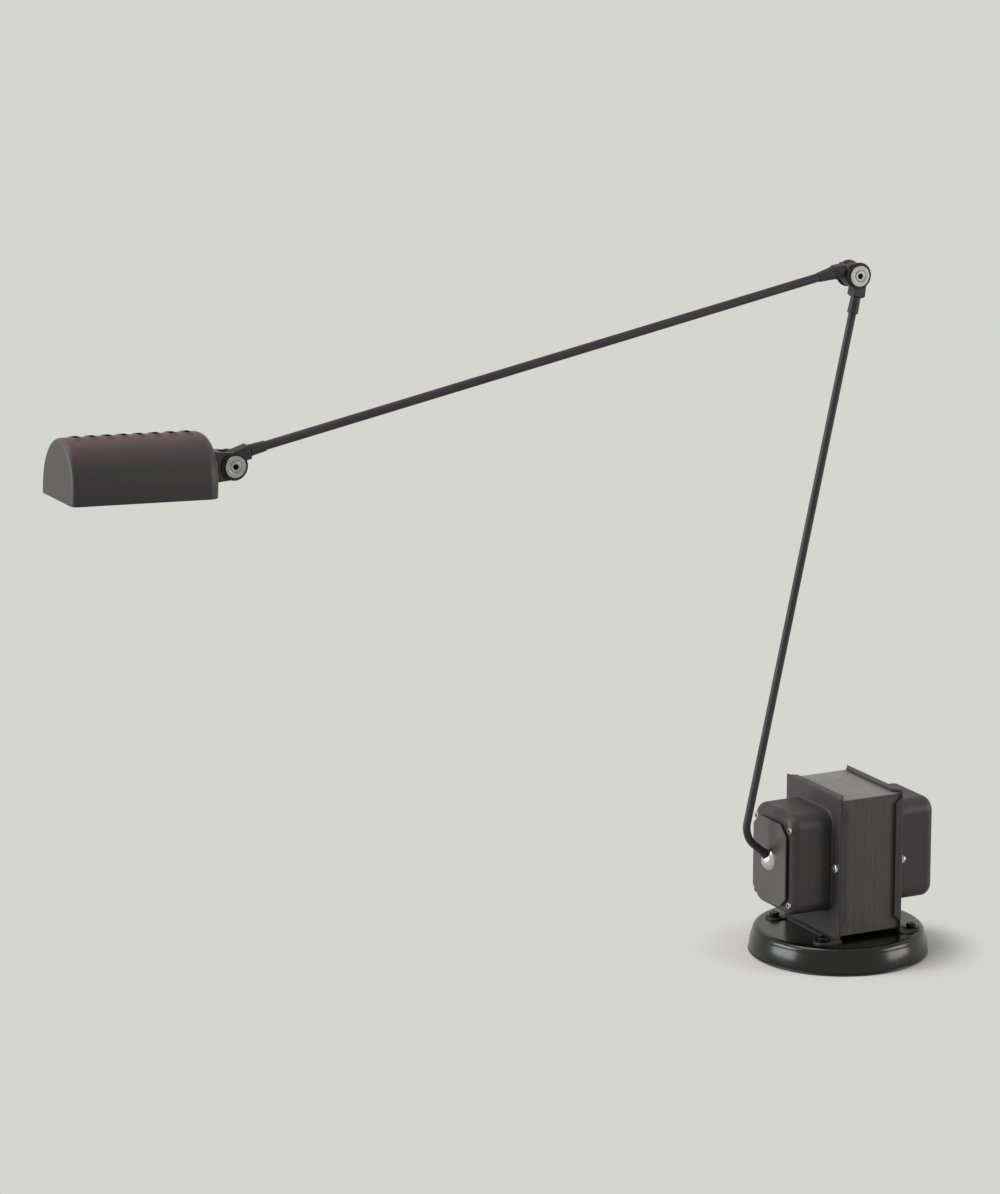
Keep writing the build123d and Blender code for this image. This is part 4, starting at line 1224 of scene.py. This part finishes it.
@dataclass
class Arms:
    """Both rods and the elbow."""

    def build(self) -> None:
        """Build and dress the arms."""
        TurnedDiscs("elbow_caps", Paint.ELBOW_DISC, "upper_arm").build()
        dress_nodes(Paint.ARM, "lower_arm_tube", "upper_arm_tube", "lower_arm_ferrule",
                    "upper_arm_ferrule", "elbow_knuckle", "elbow_fork", "head_knuckle",
                    "swivel_collar")
        dress_nodes(Paint.PLASTIC, "lower_arm_lead", "upper_arm_lead")
        dress_nodes(Paint.STEEL, "swivel_clip")
        dress_nodes(Paint.OXIDE, "elbow_pin")
        dress_nodes(Paint.RING, "elbow_washers")


# ---------------------------------------------------------------- lamp head
def on_head(points: np.ndarray) -> np.ndarray:
    """Set points of the head's own level frame at its pivot and turn them up by its rise.

    Args:
        points: rows of x, y, z in millimetres.

    Returns:
        The rows in the object's frame.
    """
    angle = math.radians(HEAD_RISE_DEG)
    c, s = math.cos(angle), math.sin(angle)
    return turned(points, (c, 0, -s), (0, 1, 0), (s, 0, c),
                  tuple(p / MM for p in pivot("head_tilt")))


@dataclass
class Shade:
    """Arched shade: a double skin with rounded ends, open below, with pressed louvres."""

    length: float = 95.5
    width: float = 49.5
    back: float = 15.5
    crown: float = 21.3
    side: float = 6.7
    arch: float = 30.0
    wall: float = 1.5
    front_r: float = 3.0
    rear_r: float = 8.0
    louvres: int = 8
    first: float = 13.5
    pitch: float = 10.14
    louvre_len: float = 6.6
    louvre_w: float = 12.4
    proud: float = 0.6
    slot_len: float = 4.0
    slot_w: float = 6.8
    ramp_len: float = 1.3  # width of the pressed edge, along and across the head
    ramp_w: float = 2.2
    crown_band: float = 3.0  # slots open only this close to the crown
    front_steps: int = 9
    rear_steps: int = 15
    end_steps: int = 5
    end_gap: float = 0.3  # between an end wall's last point and the corner's first
    ramp_steps: int = 9
    crown_steps: int = 25
    arch_steps: int = 22
    side_steps: int = 6

    def stations(self) -> tuple[np.ndarray, np.ndarray]:
        """Path along the shade, from the front wall's middle to the rear wall's middle.

        Each station has a place along the head and two insets: at a corner of radius R and
        turn a, a skin that lies w inside has x = x_end + R - (R - w) cos a and inset
        R - (R - w) sin a.

        Returns:
            Outer and inner rows of x and inset.
        """
        front, rear = -self.back - self.length, -self.back
        half = self.width / 2
        rise = np.linspace(self.slot_len / 2, self.louvre_len / 2, self.ramp_steps)
        inside_slot = np.linspace(-0.6, 0.6, 3) * self.slot_len / 2
        along = []
        for i in reversed(range(self.louvres)):
            x = rear - self.first - i * self.pitch
            along += [*(x - rise[::-1]), *(inside_slot + x), *(x + rise)]
        a = np.radians(np.linspace(0, 90, self.front_steps))
        b = np.radians(np.linspace(90, 0, self.rear_steps))
        ends = self.end_steps
        r1, r2 = self.front_r, self.rear_r
        skins = []
        for w in (0.0, self.wall):
            rows = [
                np.stack([np.full(ends, front + w),
                          np.linspace(half, r1 + self.end_gap, ends)], axis=1),
                np.stack([front + r1 - (r1 - w) * np.cos(a), r1 - (r1 - w) * np.sin(a)], axis=1),
                np.stack([along, np.full(len(along), w)], axis=1),
                np.stack([rear - r2 + (r2 - w) * np.cos(b), r2 - (r2 - w) * np.sin(b)], axis=1),
                np.stack([np.full(ends, rear - w),
                          np.linspace(r2 + self.end_gap, half, ends)], axis=1)]
            skins.append(np.concatenate(rows))
        return skins[0], skins[1]

    def across(self) -> np.ndarray:
        """Parameter across the arch, from -2 at one lower edge to 2 at the other.

        Between -1 and 1 it is the sine of the arch's angle, with finer steps over the louvres;
        beyond, it runs down the straight sides.

        Returns:
            The parameter, symmetric about 0.
        """
        crown = np.linspace(0, self.louvre_w / 2 + 1, self.crown_steps) / (self.width / 2)
        angle = np.linspace(np.arcsin(crown[-1]), np.pi / 2, self.arch_steps)[1:]
        straight = 1 + np.linspace(0, 1, self.side_steps)[1:]
        half = np.concatenate([crown, np.sin(angle), straight])
        return np.concatenate([-half[:0:-1], half])

    def skin(self, stations: np.ndarray) -> np.ndarray:
        """Points of one skin.

        For a parameter s in -1..1 the arch gives y = s h and z = z0 + t sqrt(1 - s^2), with
        h = width / 2 - inset and t = arch - inset; beyond 1 the side runs straight down.

        Args:
            stations: rows of x and inset.

        Returns:
            Array of stations, points, 3 in the head's own level frame.
        """
        s = self.across()
        spring = self.crown - self.arch
        x, inset = stations[:, :1], stations[:, 1:]
        half, top = self.width / 2 - inset, self.arch - inset
        inside = np.clip(s, -1, 1)
        down = np.clip(np.abs(s) - 1, 0, 1) * self.side
        y = inside * half
        z = spring + top * np.sqrt(1 - inside ** 2) - down
        return np.stack([x * np.ones_like(s), y, z], axis=2)

    def louvre_field(self, x: np.ndarray, y: np.ndarray) -> tuple[np.ndarray, np.ndarray]:
        """Height of the pressed louvres, and where their slots are open.

        The height is proud S(u) S(v), where S(t) = 3 t^2 - 2 t^3 is a smooth step that rises
        from the louvre's edge, over ramp_len along the head and ramp_w across it.

        Args:
            x: places along the head.
            y: places across it.

        Returns:
            Height in millimetres and a mask of the open slots.
        """
        middle = -self.back - self.first - self.pitch * np.arange(self.louvres)
        away = np.min(np.abs(x[..., None] - middle), axis=-1)
        u = np.clip((self.louvre_len / 2 - away) / self.ramp_len, 0, 1)
        v = np.clip((self.louvre_w / 2 - np.abs(y)) / self.ramp_w, 0, 1)
        height = self.proud * (3 * u ** 2 - 2 * u ** 3) * (3 * v ** 2 - 2 * v ** 3)
        return height, (away < self.slot_len / 2) & (np.abs(y) < self.slot_w / 2)

    def build(self, body: str) -> None:
        """Build and dress the shade; it stands for the plain one.

        Args:
            body: the body that carries it.
        """
        outer_rows, inner_rows = self.stations()
        outer, inner = self.skin(outer_rows), self.skin(inner_rows)
        height, _ = self.louvre_field(outer[..., 0], outer[..., 1])
        flat = (outer_rows[:, 1] < 0.01)[:, None]
        outer[..., 2] += height * flat
        inner[..., 2] += height * flat
        middle = (outer[:-1, :-1] + outer[1:, 1:]) / 2
        _, slots = self.louvre_field(middle[..., 0], middle[..., 1])
        slots &= flat[:-1] & (middle[..., 2] > self.crown - self.crown_band)
        points, faces = double_skin(outer, inner, ~slots)
        shade_piece = add_piece("louvred_shade", on_head(points), faces, body)
        merge_points(shade_piece)
        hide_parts("head_shell")
        dress(shade_piece, Paint.HEAD)


def double_skin(outer: np.ndarray, inner: np.ndarray,
                kept: np.ndarray) -> tuple[np.ndarray, Faces]:
    """Wall between two skins on the same grid, with side faces round the edge and each opening.

    Args:
        outer: outer skin, rows by columns by 3.
        inner: inner skin, of the same shape.
        kept: which cells of the grid have a wall.

    Returns:
        Points and faces.
    """
    rows, columns = outer.shape[:2]
    count = rows * columns
    cells = np.array(grid_faces(rows, columns)).reshape(rows - 1, columns - 1, 4)
    outside = cells[kept]
    inside = cells[kept][:, ::-1] + count
    padded = np.pad(kept, 1)
    padded[0], padded[-1] = padded[1], padded[-2]
    sides = []
    for shift, first, second in (((0, -1), 0, 3), ((0, 1), 2, 1), ((-1, 0), 1, 0), ((1, 0), 3, 2)):
        beside = np.roll(padded, (-shift[0], -shift[1]), (0, 1))[1:-1, 1:-1]
        edge = cells[kept & ~beside]
        a, b = edge[:, first], edge[:, second]
        sides.append(np.stack([a, b, b + count, a + count], axis=1))
    faces = np.concatenate([outside, inside, *sides])
    points = np.concatenate([outer.reshape(-1, 3), inner.reshape(-1, 3)])
    return points, [tuple(f) for f in faces.tolist()]


def merge_points(obj: bpy.types.Object, distance_mm: float = 0.001, empty_mm: float = 1e-5,
                 crease_deg: float = 50.0) -> None:
    """Merge points that lie on each other, so that seams are closed, and drop empty faces.

    Args:
        obj: the piece.
        distance_mm: points closer than this become one.
        empty_mm: edges shorter than this are dropped with their faces.
        crease_deg: edges with a sharper turn stay hard.
    """
    work = bmesh.new()
    work.from_mesh(obj.data)
    bmesh.ops.remove_doubles(work, verts=work.verts, dist=distance_mm * MM)
    bmesh.ops.dissolve_degenerate(work, edges=work.edges, dist=empty_mm * MM)
    bmesh.ops.recalc_face_normals(work, faces=work.faces)
    for face in work.faces:
        face.smooth = True
    for line in work.edges:
        line.smooth = line.calc_face_angle(0.0) < math.radians(crease_deg)
    work.to_mesh(obj.data)
    work.free()


@dataclass
class Filament:
    """Coiled filament and its two stems inside the bulb, one bent wire."""

    start: float = -41.5
    coil_from: float = -52.0
    coil_len: float = 9.0
    coil_r: float = 1.1
    turns: int = 11
    stem: float = 2.2
    wire_r: float = 0.16
    loop: float = 1.6  # reach of the bend behind the coil
    coil_steps: int = 16
    stem_steps: int = 24
    sides: int = 8

    def path(self) -> np.ndarray:
        """Centre line: out along one stem, round the helix and back along the other stem.

        The helix is x = x0 - length t, y = r cos(2 pi n t), z = r sin(2 pi n t).

        Returns:
            Rows of x, y, z in the head's level frame.
        """
        t = np.linspace(0, 1, self.turns * self.coil_steps + 1)
        turn = 2 * np.pi * self.turns * t
        helix = np.stack([self.coil_from - self.coil_len * t, self.coil_r * np.cos(turn),
                          self.coil_r * np.sin(turn)], axis=1)
        s = np.linspace(0, 1, self.stem_steps)[:, None]
        ease = 3 * s ** 2 - 2 * s ** 3
        go = np.array([self.start, self.stem, 0]) * (1 - s) + helix[0] * s
        go[:, 1:2] = self.stem + (self.coil_r - self.stem) * ease
        far = helix[-1] + np.array([-self.loop, 0, 0])
        low = np.array([self.coil_from - self.coil_len - self.loop, -self.stem, 0])
        turn_back = far + (low - far) * ease
        back = low + (np.array([self.start, -self.stem, 0]) - low) * s
        return np.concatenate([go[:-1], helix, turn_back, back[1:]])

    def build(self, body: str) -> None:
        """Build and dress the wire as a round tube along its path.

        Each ring is p + r (cos a n + sin a b), with n square to the path's direction and to
        a fixed direction, and b square to both.

        Args:
            body: the body that carries it.
        """
        path = self.path()
        ahead = np.gradient(path, axis=0)
        ahead /= np.linalg.norm(ahead, axis=1, keepdims=True)
        fixed = np.array([0.31, 0.17, 0.94])
        n = np.cross(ahead, fixed)
        n /= np.linalg.norm(n, axis=1, keepdims=True)
        b = np.cross(ahead, n)
        a = 2 * np.pi * np.arange(self.sides) / self.sides
        ring = (path[:, None] + self.wire_r * (np.cos(a)[None, :, None] * n[:, None]
                                               + np.sin(a)[None, :, None] * b[:, None]))
        count = len(path)
        faces = grid_faces(count, self.sides, wrap_columns=True)
        end = range((count - 1) * self.sides, count * self.sides)
        faces += [tuple(range(self.sides)), tuple(reversed(end))]
        wire = add_piece("filament_wire", on_head(ring.reshape(-1, 3)), faces, body)
        dress(wire, Paint.TUNGSTEN)


@dataclass
class Head:
    """Lamp head with its optics."""

    body: str = "head"

    def build(self) -> None:
        """Build and dress the head."""
        Shade().build(self.body)
        Filament().build(self.body)
        TurnedDiscs("head_caps", Paint.HEAD_DISC, self.body).build()
        dress_nodes(Paint.HEAD, "head_bracket")
        dress_nodes(Paint.STEEL, "bracket_screws", "holder_screws", "bulb_pins")
        dress_nodes(Paint.OXIDE, "head_pin")
        dress_nodes(Paint.RING, "head_washers")
        dress_nodes(Paint.MIRROR, "reflector")
        dress_nodes(Paint.CERAMIC, "lamp_holder")
        dress_nodes(Paint.GLASS, "halogen_bulb")


def main() -> None:
    """Build the studio and the lamp."""
    logging.basicConfig(level=logging.INFO, format="%(name)s: %(message)s")
    Studio().build()
    for assembly in (BaseUnit(), Arms(), Head()):
        assembly.build()


if __name__ == "__main__":
    main()
